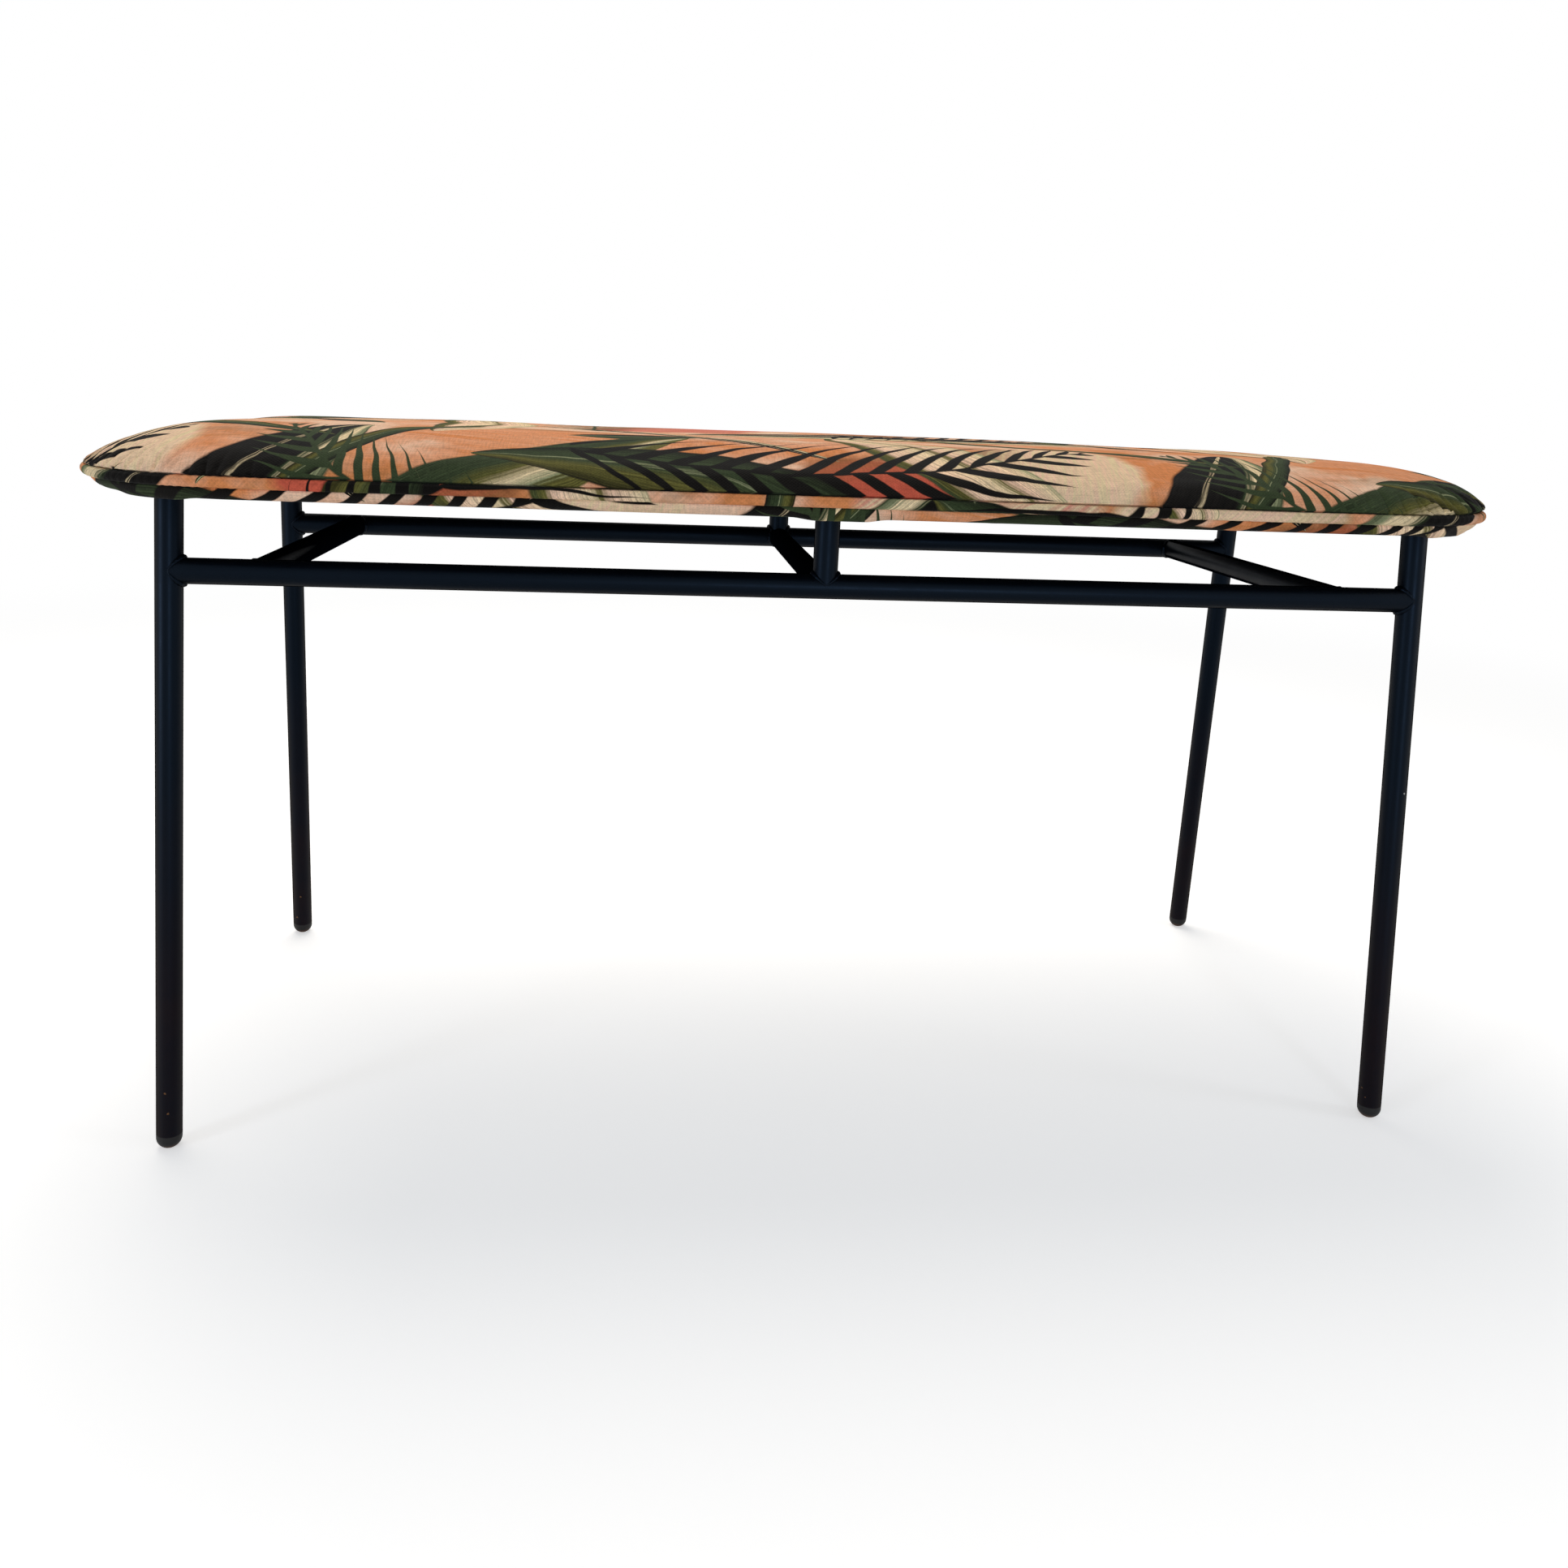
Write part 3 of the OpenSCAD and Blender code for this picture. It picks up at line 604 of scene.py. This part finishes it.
# Small single leaves, dark with a pale midrib.
SINGLE_LEAVES = (
    ((0.11, -0.235), 62, (0.048, 0.015)),
    ((-0.11, -0.10), 15, (0.050, 0.014)),
    ((0.25, 0.01), 128, (0.052, 0.016)),
    ((-0.02, 0.27), 40, (0.050, 0.015)),
)
for centre, turn, size in SINGLE_LEAVES:
    mapped, along, across = motif_place(centre, turn, size)
    squared, aside = bent(along, across, 0.35)
    width = maths(tree, "SUBTRACT", 1, squared, use_clamp=True)
    away = maths(tree, "ABSOLUTE", aside)
    inside = maths(tree, "SUBTRACT", width, away)
    cover = remap(tree, inside, 0.0, 0.07)
    midrib = remap(tree, away, 0.07, 0.02)
    half_dark = remap(tree, aside, -0.05, 0.05)
    leaf = paint_over(LEAF, DARK_LEAF, half_dark)
    leaf = paint_over(leaf, SAGE, midrib)
    print_colour = paint_over(print_colour, leaf, cover)

# The weave: threads every 0.5 mm, drawn 1.1 mm apart so that they show, with slubs that
# run 6 to 10 mm along a thread. Dye sits unevenly on them, so they mottle the colour too.
THREAD = 0.0011
crossed = vector_maths(tree, "MULTIPLY", cloth_at, (math.pi / THREAD, math.pi / THREAD, 0))
waves = vector_maths(tree, "SINE", crossed)
split = add_node(tree, "ShaderNodeSeparateXYZ", {0: waves})
weave = maths(tree, "MULTIPLY", split.outputs["X"], split.outputs["Y"])
slubs = None
for stretch in ((120, 900, 1), (900, 120, 1)):
    pulled = vector_maths(tree, "MULTIPLY", cloth_at, stretch)
    slub = flat_noise(pulled, 1, 2)
    slubs = slub if slubs is None else maths(tree, "ADD", slubs, slub)
thread_height = maths(tree, "MULTIPLY_ADD", slubs, 1.4, weave)
mottle = maths(tree, "MULTIPLY_ADD", weave, 0.10, slubs)
mottle = remap(tree, mottle, 0.7, 1.3, 0.84, 1.14)
print_colour = add_node(tree, "ShaderNodeVectorMath", {0: print_colour, 3: mottle}, operation="SCALE").outputs[0]
bump = add_node(tree, "ShaderNodeBump", {"Strength": 0.35, "Distance": 0.00025, "Height": thread_height})
give_surface(tree, out, {
    "Base Color": print_colour, "Roughness": 0.88, "Specular IOR Level": 0.04,
    "Sheen Weight": 0.02, "Sheen Roughness": 0.5, "Normal": bump.outputs[0]})

# Top cover: the printed cloth pulled tight over a crowned foam pad and sewn to the piping.
# It is laid out in rings from the seam inwards, then swelled by a cloth simulation that
# holds the seam. The creases that the stitches draw up are pressed in after that.
cover_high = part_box("top_cover")[1]
SOLID_IN = HALF_L - cover_high.x
SWELL_H = 0.0020
SOLID_H = cover_high.z - SEAM_Z - SWELL_H
CROWN_IN = 0.095
CROWN_H = SOLID_H + 0.0018
CROWN_POWER = 1.9
PUCKER_DEPTH = 0.0010
PUCKER_PULL = 0.0004
PUCKER_REACH = 0.013
ROLL = 0.0008
END_ROLL = 0.0003
RIGHT_FULLER = 0.20
LEFT_LEANER = 0.20
COVER_IN = -0.0006
COVER_Z = SEAM_Z + 0.0037
COVER_START = 0.0012
RING_STEP = 0.0040
around = 4 * round(GIRTH / RING_STEP / 4)
# The cloth's edge, tucked in under the piping: three rows, each (inset, height above the seam).
TUCKED = ((0.0032, 0.0020), (0.0024, 0.0029), (0.0011, 0.0036))
rows = [0] * len(TUCKED) + [COVER_IN + (CROWN_IN - COVER_IN) * (i / 34) ** 1.7 for i in range(35)]
random.seed(11)
TUCKS = [(random.uniform(0, GIRTH), random.uniform(0.006, 0.012), random.uniform(0.3, 1.0)) for _ in range(110)]
# Places where the pad has settled: middle, reach in x and y, and depth.
SETTLED = (
    ((-0.35, 0.06), (0.07, 0.10), 0.0017),
    ((-0.16, 0.07), (0.06, 0.10), 0.0015),
    ((0.29, 0.06), (0.07, 0.10), 0.0018),
    ((0.37, 0.05), (0.06, 0.10), 0.0010),
    ((0.10, -0.04), (0.10, 0.06), 0.0008),
)


def pucker(run):
    """Depth, 0 to about 1, of the tucks that the seam pulls into the cloth."""
    depth = 0
    for at, width, strength in TUCKS:
        off = abs((run - at + GIRTH / 2) % GIRTH - GIRTH / 2) / width
        if off < 3:
            depth += strength * math.exp(-off * off * 2)
    return depth * (0.2 + 0.8 * bend_at(run))


def ease(value):
    """0 to 1, with a soft start and end."""
    value = max(0, min(1, value))
    return value * value * (3 - 2 * value)


def crown_curve(share, height, power):
    """Height of the crown at a share of the way from its edge to its flat top."""
    return height * (1 - (1 - max(0, min(share, 1))) ** power) ** (1 / power)


def swell_at(inset):
    """The slow rise of the seat's top towards its middle."""
    return SWELL_H * (1 - (1 - max(0, min(inset / HALF_W, 1))) ** 2)


def crown_at(inset, x, y):
    """Height of the cover above the seam: fuller at the right end, never below the solid pad."""
    power = CROWN_POWER + RIGHT_FULLER * ease((x - 0.33) / 0.11) - LEFT_LEANER * ease((-0.38 - x) / 0.07)
    deep = inset - COVER_IN + COVER_START
    sunk = 0
    for (mx, my), (rx, ry), depth in SETTLED:
        sunk += depth * math.exp(-((x - mx) / rx) ** 2 - ((y - my) / ry) ** 2)
    uneven = 0.0007 * noise.noise(Vector((x * 9, y * 12, 3.1)))
    height = crown_curve(deep / CROWN_IN, CROWN_H, power) + swell_at(deep) + (uneven - sunk) * min(1, inset / 0.03)
    solid_in = inset - SOLID_IN
    return max(height, crown_curve(solid_in / CROWN_IN, SOLID_H, CROWN_POWER) + swell_at(solid_in))


tuck_at = [pucker(GIRTH * i / around) for i in range(around)]
points = []
side_of = []
for row, inset in enumerate(rows):
    for i in range(around):
        at, away = round_the_seat(GIRTH * i / around)
        if row < len(TUCKED):
            flat = at - away * TUCKED[row][0]
            points.append(Vector((flat.x, flat.y, SEAM_Z + TUCKED[row][1])))
            side_of.append(away)
            continue
        flat = at - away * inset
        deep = inset - COVER_IN
        fall = math.exp(-deep / PUCKER_REACH) * (1 - math.exp(-deep / COVER_START))
        # The cloth rolls out over the piping a little before it climbs, most at the ends.
        roll = ROLL + END_ROLL * ease((abs(flat.x) - 0.38) / 0.06)
        roll *= math.exp(-((deep - 0.0012) / 0.0020) ** 2)
        flat = flat + away * (roll - PUCKER_PULL * tuck_at[i] * fall)
        height = SEAM_Z + crown_at(inset, flat.x, flat.y) - PUCKER_DEPTH * tuck_at[i] * fall
        points.append(Vector((flat.x, flat.y, max(COVER_Z, height))))
        side_of.append(away)
SPINE = HALF_L - HALF_W
CLOSING = 16
for step in range(1, CLOSING + 1):
    share = step / CLOSING
    for i in range(around):
        edge = points[(len(rows) - 1) * around + i]
        near = max(-SPINE, min(SPINE, edge.x))
        flat = Vector((edge.x + (near - edge.x) * share, edge.y * (1 - share)))
        inset = rows[-1] + (HALF_W - rows[-1]) * share
        points.append(Vector((flat.x, flat.y, SEAM_Z + crown_at(inset, flat.x, flat.y))))
        side_of.append(Vector((0, 0)))
faces = ring_faces(len(rows) + CLOSING, around)
cover = make_piece("printed_cover", points, faces, printed_cloth)
# The slope takes more cloth than its plan, so the print is let out towards the seam.
extra_at = [0.0]
for row in range(len(rows) - 1, 0, -1):
    inner, outer = points[row * around], points[(row - 1) * around]
    extra_at.append(extra_at[-1] + (outer - inner).length - (outer - inner).xy.length)
extra_at.reverse()
cloth_points = []
for i, point in enumerate(points):
    extra = extra_at[i // around] if i < len(rows) * around else 0
    cloth_points.append((point.x + side_of[i].x * extra, point.y + side_of[i].y * extra))
layer = cover.data.uv_layers.new(name="cloth")
for loop in cover.data.loops:
    layer.data[loop.index].uv = cloth_points[loop.vertex_index]
turn_outwards(cover, weld=True)

# Only the slope is free to move: the seam is sewn down and the top lies on the foam. The
# corners carry 1 per cent more cloth than the straights, which is what the stitches gather.
SWELL_CAP = 0.0025
SWELL_FRAMES = 16
FREE_ROWS = 20
LINEN_SETTINGS = {
    "vertex_group_mass": "held", "vertex_group_shrink": "gathered", "shrink_min": -0.001, "shrink_max": -0.011,
    "quality": 5, "mass": 0.25, "tension_stiffness": 40, "compression_stiffness": 15, "shear_stiffness": 8,
    "bending_stiffness": 0.08, "use_pressure": True, "uniform_pressure_force": 2,
}
tucked_rows = len(TUCKED)
free = (FREE_ROWS + tucked_rows) * around
slope_mesh = bpy.data.meshes.new("slope")
slope_mesh.from_pydata([v.co for v in cover.data.vertices[:free]], [],
                       [face.vertices[:] for face in cover.data.polygons if max(face.vertices) < free])
slope = bpy.data.objects.new("slope", slope_mesh)
bpy.context.scene.collection.objects.link(slope)
held = slope.vertex_groups.new(name="held")
gathered = slope.vertex_groups.new(name="gathered")
for v in slope_mesh.vertices:
    row = v.index // around
    hold = 1 if row < tucked_rows else 0.25 if row == tucked_rows else ease((row - FREE_ROWS + 3) / 3)
    if hold > 0:
        held.add([v.index], hold, "REPLACE")
    gathered.add([v.index], bend_at(GIRTH * (v.index % around) / around), "REPLACE")
cloth = slope.modifiers.new("swell", "CLOTH")
for setting, value in LINEN_SETTINGS.items():
    setattr(cloth.settings, setting, value)
cloth.settings.effector_weights.gravity = 0
cloth.collision_settings.use_collision = False
for step in range(1, SWELL_FRAMES + 1):
    bpy.context.scene.frame_set(step)
swelled = slope.evaluated_get(bpy.context.evaluated_depsgraph_get()).to_mesh()
for was, now in zip(cover.data.vertices, swelled.vertices):
    move = now.co - was.co
    if move.length > SWELL_CAP:
        move *= SWELL_CAP / move.length
    was.co = was.co + move
bpy.data.objects.remove(slope)
bpy.context.scene.frame_set(1)
bpy.context.view_layer.objects.active = cover
fine = cover.modifiers.new("fine", "SUBSURF")
fine.levels = fine.render_levels = 1
bpy.ops.object.modifier_apply(modifier="fine")
# Gathering creases: sharp lines 5 to 11 mm apart that start at the stitches and fade out
# 10 to 30 mm in. They are deep round the corners and hardly there on the straights.
# The mesh is cut finer there first, so that the lines stay sharp.
bpy.ops.object.mode_set(mode="EDIT")
bpy.ops.mesh.select_mode(type="FACE")
bpy.ops.mesh.select_all(action="DESELECT")
bpy.ops.object.mode_set(mode="OBJECT")
for face in cover.data.polygons:
    run, inset = place_on_seat(face.center.x, face.center.y)
    face.select = -0.0005 < inset < 0.020 and bend_at(run) > 0.25 and face.center.z > COVER_Z
bpy.ops.object.mode_set(mode="EDIT")
bpy.ops.mesh.subdivide(number_cuts=1, smoothness=0)
bpy.ops.mesh.select_mode(type="VERT")
bpy.ops.object.mode_set(mode="OBJECT")
CREASES = []
run = 0
while run < GIRTH:
    run += random.uniform(0.0055, 0.0115) + 0.010 * (1 - bend_at(run))
    CREASES.append((run, random.uniform(0.3, 1.0), random.uniform(0.010, 0.030), random.uniform(-0.3, 0.3)))
CREASE_DEPTH = 0.0032
CREASE_WIDTH = 0.0013
CREASE_FOOT = 0.003
PUFF = 0.0007
# Creases are sorted by their run into bins of 10 mm, so that each point tries only a few.
BIN = 0.01
near_creases = [[] for _ in range(int(GIRTH / BIN) + 2)]
for crease in CREASES:
    middle = int(crease[0] % GIRTH / BIN)
    for k in range(middle - 2, middle + 3):
        near_creases[k % (len(near_creases) - 1)].append(crease)
normals = [v.normal.copy() for v in cover.data.vertices]
for v, normal in zip(cover.data.vertices, normals):
    run, inset = place_on_seat(v.co.x, v.co.y)
    if inset > 0.04:
        continue
    sunk = 0
    for at, strength, reach, slant in near_creases[int(run % GIRTH / BIN)]:
        off = abs((run - at - slant * inset + GIRTH / 2) % GIRTH - GIRTH / 2)
        length = max(0, 1 - max(0, inset - 0.002) / reach)
        profile = 0.75 * math.exp(-off / CREASE_WIDTH) + 0.25 * math.exp(-off / CREASE_FOOT)
        sunk = max(sunk, strength * length * profile)
    share = 0.10 + 0.90 * bend_at(run)
    puff = PUFF * math.exp(-inset / 0.012)
    v.co += normal * ((puff - CREASE_DEPTH * sunk) * share * ease((v.co.z - COVER_Z) / 0.0018))
thicken(cover, 0.001)
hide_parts("top_cover")


def sweep(name, section, closed, step, cut, wobble):
    """Sweeps a section, a list of (inset, height), round the seat in the printed cloth."""
    steps = 4 * round(GIRTH / step / 4)
    lengths = [0.0]
    for (a, b), (c, d) in zip(section, section[1:]):
        lengths.append(lengths[-1] + math.hypot(c - a, d - b))
    ring = len(section)
    verts = []
    for i in range(steps):
        run = GIRTH * i / steps
        at, away = round_the_seat(run)
        for k, (inset, height) in enumerate(section):
            inset, height = wobble(run, k, inset, height)
            flat = at - away * inset
            verts.append((flat.x, flat.y, height))
    quads = []
    for i in range(steps):
        j = (i + 1) % steps
        for k in range(ring if closed else ring - 1):
            m = (k + 1) % ring
            quads.append((i * ring + k, i * ring + m, j * ring + m, j * ring + k))
    piece = make_piece(name, verts, quads, printed_cloth)
    layer = piece.data.uv_layers.new(name="cloth")
    whole = lengths[-1] + math.hypot(section[0][0] - section[-1][0], section[0][1] - section[-1][1])
    for face in piece.data.polygons:
        corners = [piece.data.loops[n].vertex_index for n in face.loop_indices]
        wraps = max(corners) // ring - min(corners) // ring > 1
        seam = closed and {c % ring for c in corners} == {0, ring - 1}
        for n, corner in zip(face.loop_indices, corners):
            i, k = corner // ring, corner % ring
            run = GIRTH * (i + (steps if wraps and i == 0 else 0)) / steps
            down = whole if seam and k == 0 else lengths[k]
            layer.data[n].uv = cut(run, down)
    turn_outwards(piece)
    return piece


# Piping: a strip of the same cloth, cut on the bias and sewn tight round a cotton cord.
# It stands proud of the seam, and the bias strip gathers into fine ridges round the cord.
PIPING_STEPS = 16
PIPING_STEP = 0.0014
PULLED_R = 0.93 * PIPING_R
RIDGE_H = 0.00016
section = []
for k in range(PIPING_STEPS):
    turn = 2 * math.pi * k / PIPING_STEPS
    section.append((PULLED_R * math.cos(turn), SEAM_Z + PULLED_R * math.sin(turn)))


def piping_wobble(run, k, inset, height):
    """Fine ridges round the cord, deepest in the corners, and a slow drift along it."""
    ridge = RIDGE_H * math.sin(run / 0.0009 + k * 0.35 + 2 * math.sin(run * 31)) * (0.25 + 0.75 * bend_at(run))
    drift = 0.0004 * noise.noise(Vector((run * 16, 0, 0)))
    grow = 1 + ridge / PIPING_R
    return inset * grow + drift, SEAM_Z + (height - SEAM_Z) * grow + 0.0003 * noise.noise(Vector((run * 13, 5, 0)))


def bias_cut(run, down):
    """Place on the cloth of a strip cut at 45 degrees."""
    return 0.02 + run * 0.7071 - down * 0.7071, 0.40 + run * 0.7071 + down * 0.7071


piping = sweep("piping", section, True, PIPING_STEP, bias_cut, piping_wobble)
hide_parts("piping_cover")

# Border band: a straight strip of the same cloth, sewn in with the piping and pulled
# down round the edge of the board and under it. It draws in below the piping.
UNDER_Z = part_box("border_band")[0].z
section = [(0.0022, SEAM_Z - 0.0026), (0.0015, SEAM_Z - 0.0036), (0.0014, SEAM_Z - 0.0044),
           (0.0018, SEAM_Z - 0.0054), (0.0030, SEAM_Z - 0.0068), (0.0048, SEAM_Z - 0.0084),
           (0.0070, UNDER_Z + 0.0006), (0.0092, UNDER_Z + 0.0001), (0.0120, UNDER_Z),
           (0.0200, UNDER_Z), (0.0270, UNDER_Z), (0.0330, UNDER_Z)]
# The six tabs that carry the seat. They press the dust sheet flat, and the band bunches
# up beside each, most at the points of its section that are listed with a share of 1.
HOLDERS = [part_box("tab_" + c) for c in CORNERS] + [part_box("tab_front_middle"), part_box("tab_back_middle")]
BAND_STEP = 0.0028
BAND_SHIFT = 0.4
BUNCH_DEPTH = 0.0017
BUNCHED = {4: 0.2, 5: 0.7, 6: 1.0, 7: 1.0, 8: 0.4}


def band_wobble(run, k, inset, height):
    """Pleats where the band turns in, bunches beside the tabs, and ripples under the board."""
    pleat = pucker(run + BAND_SHIFT) * bend_at(run)
    if 2 <= k <= 7:
        inset += 0.0010 * pleat - 0.0004 * noise.noise(Vector((run * 25, k * 0.3, 1)))
    if k in BUNCHED:
        x = round_the_seat(run)[0].x
        beyond = min(max(low.x - x, 0, x - high.x) for low, high in HOLDERS)
        height -= BUNCH_DEPTH * BUNCHED[k] * ease(1 - (beyond - 0.003) / 0.016)
    if k > 7:
        height -= 0.0004 * abs(noise.noise(Vector((run * 60, inset * 80, 2)))) * min(1, (0.034 - inset) / 0.01)
    return inset, height


def straight_cut(run, down):
    """Place on the cloth of a strip cut straight along it."""
    return 0.17 + run, 0.41 - down


band = sweep("border_band_cloth", section, False, BAND_STEP, straight_cut, band_wobble)
thicken(band, 0.0008)
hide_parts("border_band")

# Dust cover: thin black spun-bonded cloth, cut to the underside, its edge folded in once
# and stapled over the cut edge of the band. It hangs a little slack where nothing holds it up.
# The spun cloth is matt, with point-bonded dimples about 1.5 mm apart.
dust_low, dust_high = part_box("dust_cover")
black_cloth, tree, out = new_material("spun_bonded_cloth")
place = add_node(tree, "ShaderNodeTexCoord").outputs["Object"]
fibres = add_node(tree, "ShaderNodeTexNoise", {"Vector": place, "Scale": 1400, "Detail": 3, "Roughness": 0.7})
dimples = add_node(tree, "ShaderNodeTexVoronoi", {"Vector": place, "Scale": 650, "Randomness": 0.15})
relief = maths(tree, "ADD", dimples.outputs["Distance"], fibres.outputs["Fac"])
shade = add_node(tree, "ShaderNodeMix", {
    "Factor": fibres.outputs["Fac"], "A": colour("#131314"), "B": colour("#2b2b2c")}, data_type="RGBA")
bump = add_node(tree, "ShaderNodeBump", {"Strength": 0.6, "Distance": 0.0002, "Height": relief})
give_surface(tree, out, {
    "Base Color": shade.outputs["Result"], "Roughness": 0.9, "Specular IOR Level": 0.2,
    "Sheen Weight": 0.15, "Normal": bump.outputs[0]})

DUST_IN = HALF_L - dust_high.x
HEM = 0.015
HEM_STEP = 0.0001
THICK = 0.0002
DUST_STEP = 0.006
LOW = dust_low.z + THICK / 2
HIGH = dust_high.z - THICK / 2
fold = (LOW + HIGH) / 2
dust_rows = [(HEM, HIGH), (0.008, HIGH), (0.0015, HIGH), (0.0003, HIGH - 0.00006), (0, fold), (0.0003, LOW + 0.00006),
             (0.0015, LOW), (0.008, LOW), (0.0125, LOW), (HEM, LOW), (0.0165, LOW + HEM_STEP)]
dust_rows += [(0.020 + 0.007 * i, LOW + HEM_STEP) for i in range(12)]
DUST_CLOSING = 10
STAPLE_PITCH = 0.042


def slack(x, y, depth_in, run):
    """How far the cloth hangs below its edge."""
    free = min(1, max(0, (depth_in - 0.018) / 0.05))
    for low_corner, high_corner in HOLDERS:
        dx = max(low_corner.x - x, 0, x - high_corner.x)
        dy = max(low_corner.y - y, 0, y - high_corner.y)
        free *= 1 - math.exp(-(math.hypot(dx, dy) / 0.03) ** 2)
    hang = 0.0022 + 0.0016 * noise.noise(Vector((x * 8, y * 11, 7)))
    drawn_up = 0.0004 * abs(math.sin(math.pi * run / STAPLE_PITCH)) * math.exp(-((depth_in - 0.022) / 0.02) ** 2)
    return hang * free + drawn_up * min(1, free * 4)


dust_around = 4 * round(GIRTH / DUST_STEP / 4)
points = []
for depth_in, height in dust_rows:
    for i in range(dust_around):
        run = GIRTH * i / dust_around
        at, away = round_the_seat(run)
        flat = at - away * (DUST_IN + depth_in)
        points.append((flat.x, flat.y, height - (slack(flat.x, flat.y, depth_in, run) if depth_in > HEM else 0)))
last = len(points) - dust_around
inner_in = dust_rows[-1][0]
for step in range(1, DUST_CLOSING + 1):
    share = step / DUST_CLOSING
    for i in range(dust_around):
        x, y = points[last + i][:2]
        x, y = x + (max(-SPINE, min(SPINE, x)) - x) * share, y * (1 - share)
        depth_in = inner_in + (HALF_W - DUST_IN - inner_in) * share
        points.append((x, y, LOW + HEM_STEP - slack(x, y, depth_in, 0)))
faces = ring_faces(len(dust_rows) + DUST_CLOSING, dust_around)
dust = make_piece("dust_sheet", points, faces, black_cloth)
turn_outwards(dust, weld=True)
thicken(dust, THICK, offset=0)
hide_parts("dust_cover")

# Fixings under the seat: bright zinc staples and tee nuts, and blackened steel bolts.
# Plated wire is bright with a fine drawn grain; black oxide is dark with an oily gloss.
zinc_plate, tree, out = new_material("zinc_plated_steel")
place = add_node(tree, "ShaderNodeTexCoord").outputs["Object"]
spangle = add_node(tree, "ShaderNodeTexNoise", {"Vector": place, "Scale": 500, "Detail": 3})
rough = remap(tree, spangle.outputs["Fac"], 0, 1, 0.25, 0.45)
give_surface(tree, out, {"Base Color": colour("#b9bcc0"), "Metallic": 1, "Roughness": rough})
dress(["staples", "tee_nuts"], zinc_plate)

black_oxide, tree, out = new_material("black_oxide_steel")
place = add_node(tree, "ShaderNodeTexCoord").outputs["Object"]
patches = add_node(tree, "ShaderNodeTexNoise", {"Vector": place, "Scale": 400, "Detail": 3})
rough = remap(tree, patches.outputs["Fac"], 0, 1, 0.3, 0.5)
give_surface(tree, out, {"Base Color": colour("#2b2b2e"), "Metallic": 1, "Roughness": rough})
dress(["seat_bolts"], black_oxide)

# Inside the seat: birch plywood, polyurethane foam, polyester wadding and cotton cord.
# None of them shows, but each has its own finish for anyone who takes the cover off.
INSIDES = (
    ("birch_plywood", ["seat_board"], "#c8a572", "#ddbf90", (6, 180, 900), 0.6),
    ("upholstery_foam", ["foam_pad"], "#e4d59c", "#efe3b4", (700, 700, 700), 0.95),
    ("polyester_wadding", ["wadding"], "#e9e6dd", "#f7f5ef", (90, 90, 400), 0.95),
    ("cotton_cord", ["welt_cord"], "#e8e2d2", "#f5f0e4", (500, 500, 500), 0.9),
)
for name, nodes, dark, light, stretch, roughness in INSIDES:
    inside_material, tree, out = new_material(name)
    place = add_node(tree, "ShaderNodeTexCoord").outputs["Object"]
    pulled = vector_maths(tree, "MULTIPLY", place, stretch)
    grain = add_node(tree, "ShaderNodeTexNoise", {"Vector": pulled, "Scale": 1, "Detail": 4})
    shade = add_node(tree, "ShaderNodeMix", {
        "Factor": grain.outputs["Fac"], "A": colour(dark), "B": colour(light)}, data_type="RGBA")
    bump = add_node(tree, "ShaderNodeBump", {"Strength": 0.4, "Distance": 0.0003, "Height": grain.outputs["Fac"]})
    give_surface(tree, out, {
        "Base Color": shade.outputs["Result"], "Roughness": roughness, "Normal": bump.outputs[0]})
    dress(nodes, inside_material)
